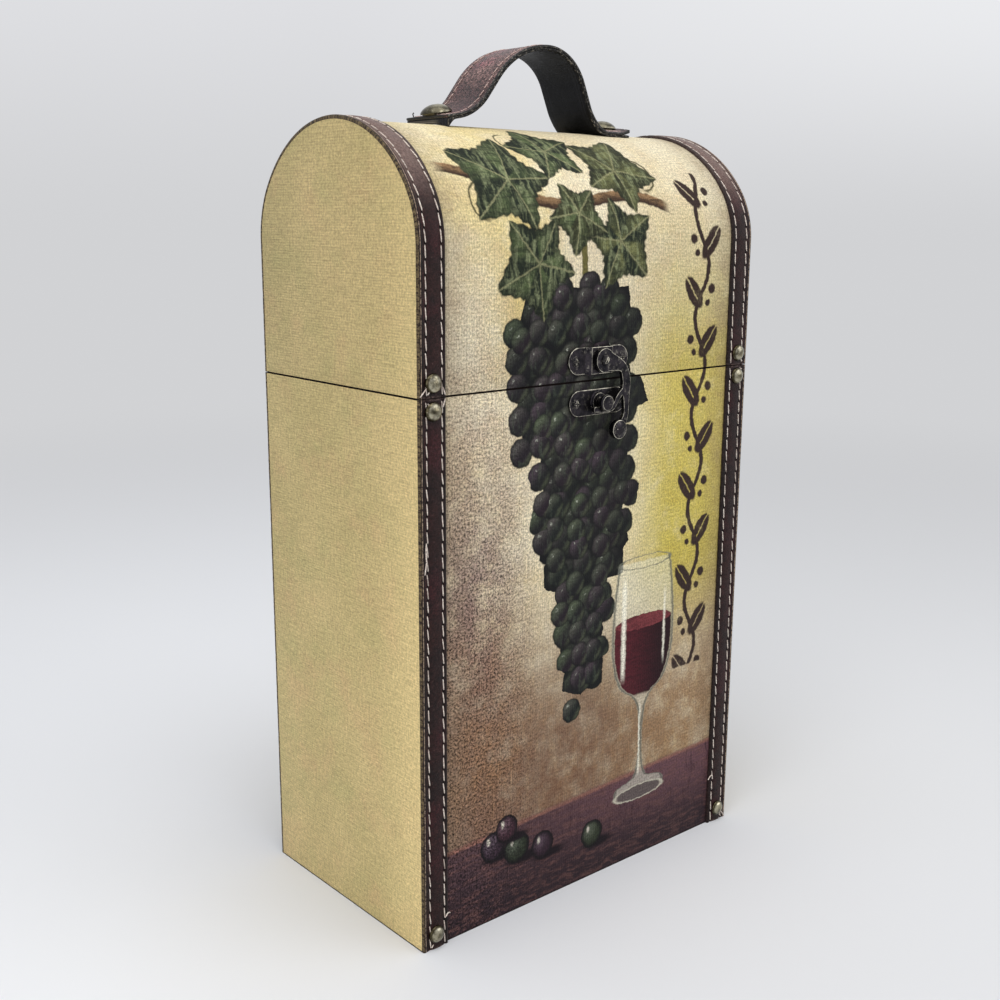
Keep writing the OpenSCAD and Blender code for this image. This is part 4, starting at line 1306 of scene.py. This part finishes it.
def strap_strip(name, low_off, high_off, width, cut, groove=0, curl=0, pad=0):
    """A layer of the strap between two heights off its top face. Groove sinks its
    seams, curl turns its right end up and pad its left end down to the lid."""
    start, end = cut, strap_length - cut
    strip = block(name, (start, -width / 2, low_off), (end, width / 2, high_off))
    choose(strip, "edges", upright)
    bpy.ops.mesh.bevel(offset=strap_corner_r, segments=6, affect="EDGES")
    soften(strip, 0.00035, 2, 60)
    stitch_uv(strip)
    cuts(strip, "x", [start + (end - start) * k / 130 for k in range(1, 130)])
    row = width / 2 - strap_row_in
    cuts(strip, "y", [
        -row - groove_wide, -row, -row + groove_wide, -row / 2, 0,
        row / 2, row - groove_wide, row, row + groove_wide])

    def bend(at):
        across = at.y
        off = at.z
        if off > (low_off + high_off) / 2:
            near_row = abs(abs(across) - row)
            off -= groove_deep * math.exp(-((near_row / groove_wide) ** 2)) * groove
            off -= edge_fall * groove * max(0.0, abs(across) / (width / 2) - 0.86) / 0.14
        lift = curl * max(0.0, 1 - (end - at.x) / curl_l) ** 2
        # The left end was cut by hand, a little out of square
        near_end = max(0.0, 1 - (at.x - start) / cut_l)
        skew = out_of_square * near_end * across / (width / 2)
        point = on_strap(at.x - skew, across, off + lift)
        if off < (low_off + high_off) / 2:
            share = pad * max(0.0, 1 - (at.x - start) / pad_l) ** 2
            lid_top = crown_cz + math.sqrt(crown_r ** 2 - across ** 2) + 0.0001
            point.z = min(point.z, point.z + (lid_top - point.z) * share)
        return point

    reshape(strip, bend)
    face_outward(strip)
    smooth(strip, 40)
    return strip


def inked_edge(hide, tone):
    """The cut edges of the strap, inked black; the ink has rubbed off in streaks
    along the layers."""
    lengthways, off, _ = hide.cloth_map().split()
    streaks = hide.join(lengthways * 55.0, off * 110.0).noise(1.0, 3, 0.75)
    ink_tone = streaks.ramp(0.53, 0.64).mix((11, 10, 9), (120, 114, 104))
    from_crown, across, _ = hide.place().split()
    side = abs(across).ramp(strap_w / 2 - 0.0011, strap_w / 2 - 0.0005)
    from_crown = abs(from_crown - handle_x)
    end = from_crown.ramp(strap_end - cut_back - 0.0009, strap_end - cut_back - 0.0006)
    tone.lay(side | end, ink_tone)


def upper_skin_painted_shade(hide, tone):
    """The strap's upper skin: light and dark speckle in its coarse grain, and painted shade
    towards the feet, so the top of the bow stands lighter as if lit from above."""
    at = hide.place()
    _, _, up = at.split()
    # Painted shade: darker towards the feet, lighter over the top of the bow
    tone.lay(up.ramp(0.376, 0.361, 0, 0.62), (50, 32, 33))
    tone.speckle(at.noise(1000, 3, 0.8), 0.34, 0.66, 0.9)
    inked_edge(hide, tone)


def sewn_through(hide, tone):
    """Painted shade and highlight for grooves under the two rows of stitches on the
    back of the strap: a dark line along each row, a lighter lip beside it.
    """
    _, across, _ = hide.place().split()
    off_row = abs(abs(across) - (strap_w / 2 - strap_row_in))
    # Painted highlight on a lip beside each row, and painted shade along the row itself
    painted_lip_highlight = abs(off_row - 0.0008).ramp(0.0003, 0.0001, 0, 0.4)
    tone.lay(painted_lip_highlight, (50, 52, 60))
    tone.lay(off_row.ramp(0.0005, 0.0002, 0, 0.9), (3, 3, 4))
    inked_edge(hide, tone)


strap_leather = leather(
    "strap_leather", (62, 42, 42), (124, 98, 94), (212, 196, 188), (120, 68, 76),
    0.38, 0.3, upper_skin_painted_shade)
backing_leather = leather(
    "strap_backing", (6, 7, 10), (13, 14, 19), (44, 46, 54), (9, 11, 18),
    0.34, 0.16, sewn_through)
outer = strap_strip("strap_outer", -strap_t, 0, strap_w, cut_back, groove=1, curl=0.0012)
fit_out(outer, "lid", strap_leather, "strap_leather", "handle_strap")
backing = strap_strip(
    "strap_backing_layer", -strap_t - backing_t, -strap_t, strap_w - 0.0003,
    cut_back + 0.0002, pad=1)
fit_out(backing, "lid", backing_leather, "strap_backing", "handle_backing")
strap_rows = (strap_row_in - strap_w / 2, strap_w / 2 - strap_row_in)
sewn_from, sewn_to = cut_back + 0.0014, strap_length - cut_back - 0.0014
top_ends, _ = stitch_rows(
    strap_rows, sewn_from, sewn_to, -0.00005, "strap", 1, strap_pitch, 0.0008)
# A short row closes each end
for end_at in (sewn_from + 0.0006, sewn_to - 0.0006):
    for k in range(-2, 3):
        middle = k * strap_pitch
        top_ends.append([
            (middle + half, -0.00002, end_at) for half in (-short_stitch / 2, short_stitch / 2)])
strap_thread = sew("strap_stitches", top_ends, lambda at: on_strap(at.z, at.x, at.y))
work(strap_thread, bpy.ops.mesh.flip_normals)
strap_cotton = thread("strap_thread", (140, 110, 104), (206, 182, 172))
fit_out(strap_thread, "lid", strap_cotton, "strap_leather")
strap_knot = strand(
    "strap_thread_end",
    [on_strap(*point) for point in (
        (0.0036, 0.0113, 0), (0.0033, 0.0114, 0.0011), (0.0038, 0.0112, 0.0017))])
black_thread = thread("backing_thread", (12, 12, 14), (44, 42, 42))
fit_out(strap_knot, "lid", black_thread, "strap_leather")

rivet_pattern = turned("rivet_pattern", [
    (0.0060, 0), (0.0061, 0.0005), (0.0068, 0.0006), (0.0070, 0.0009), (0.0068, 0.0014),
    (0.0064, 0.0019), (0.0058, 0.0025), (0.0050, 0.0031), (0.0039, 0.0037), (0.0026, 0.00414),
    (0.0013, 0.00436), (0, 0.0044),
], 48)
smooth(rivet_pattern, 50)
left_rivet_z = foot_z + foot_raise + (strap_end - rivet_x) * math.tan(foot_lift)
rivet_places = [
    Matrix.Translation((handle_x - rivet_x, 0, left_rivet_z)) @ Matrix.Rotation(-foot_lift, 4, "Y"),
    Matrix.Translation((handle_x + rivet_x, 0, foot_z - 0.0001)) @ spin(2, "Y"),
]
rivets = copies_at("strap_rivets", rivet_pattern, rivet_places)
fit_out(rivets, "lid", aged_brass, "aged_brass", "handle_rivets")
bpy.data.objects.remove(rivet_pattern)
bpy.data.objects.remove(stitch_shape)
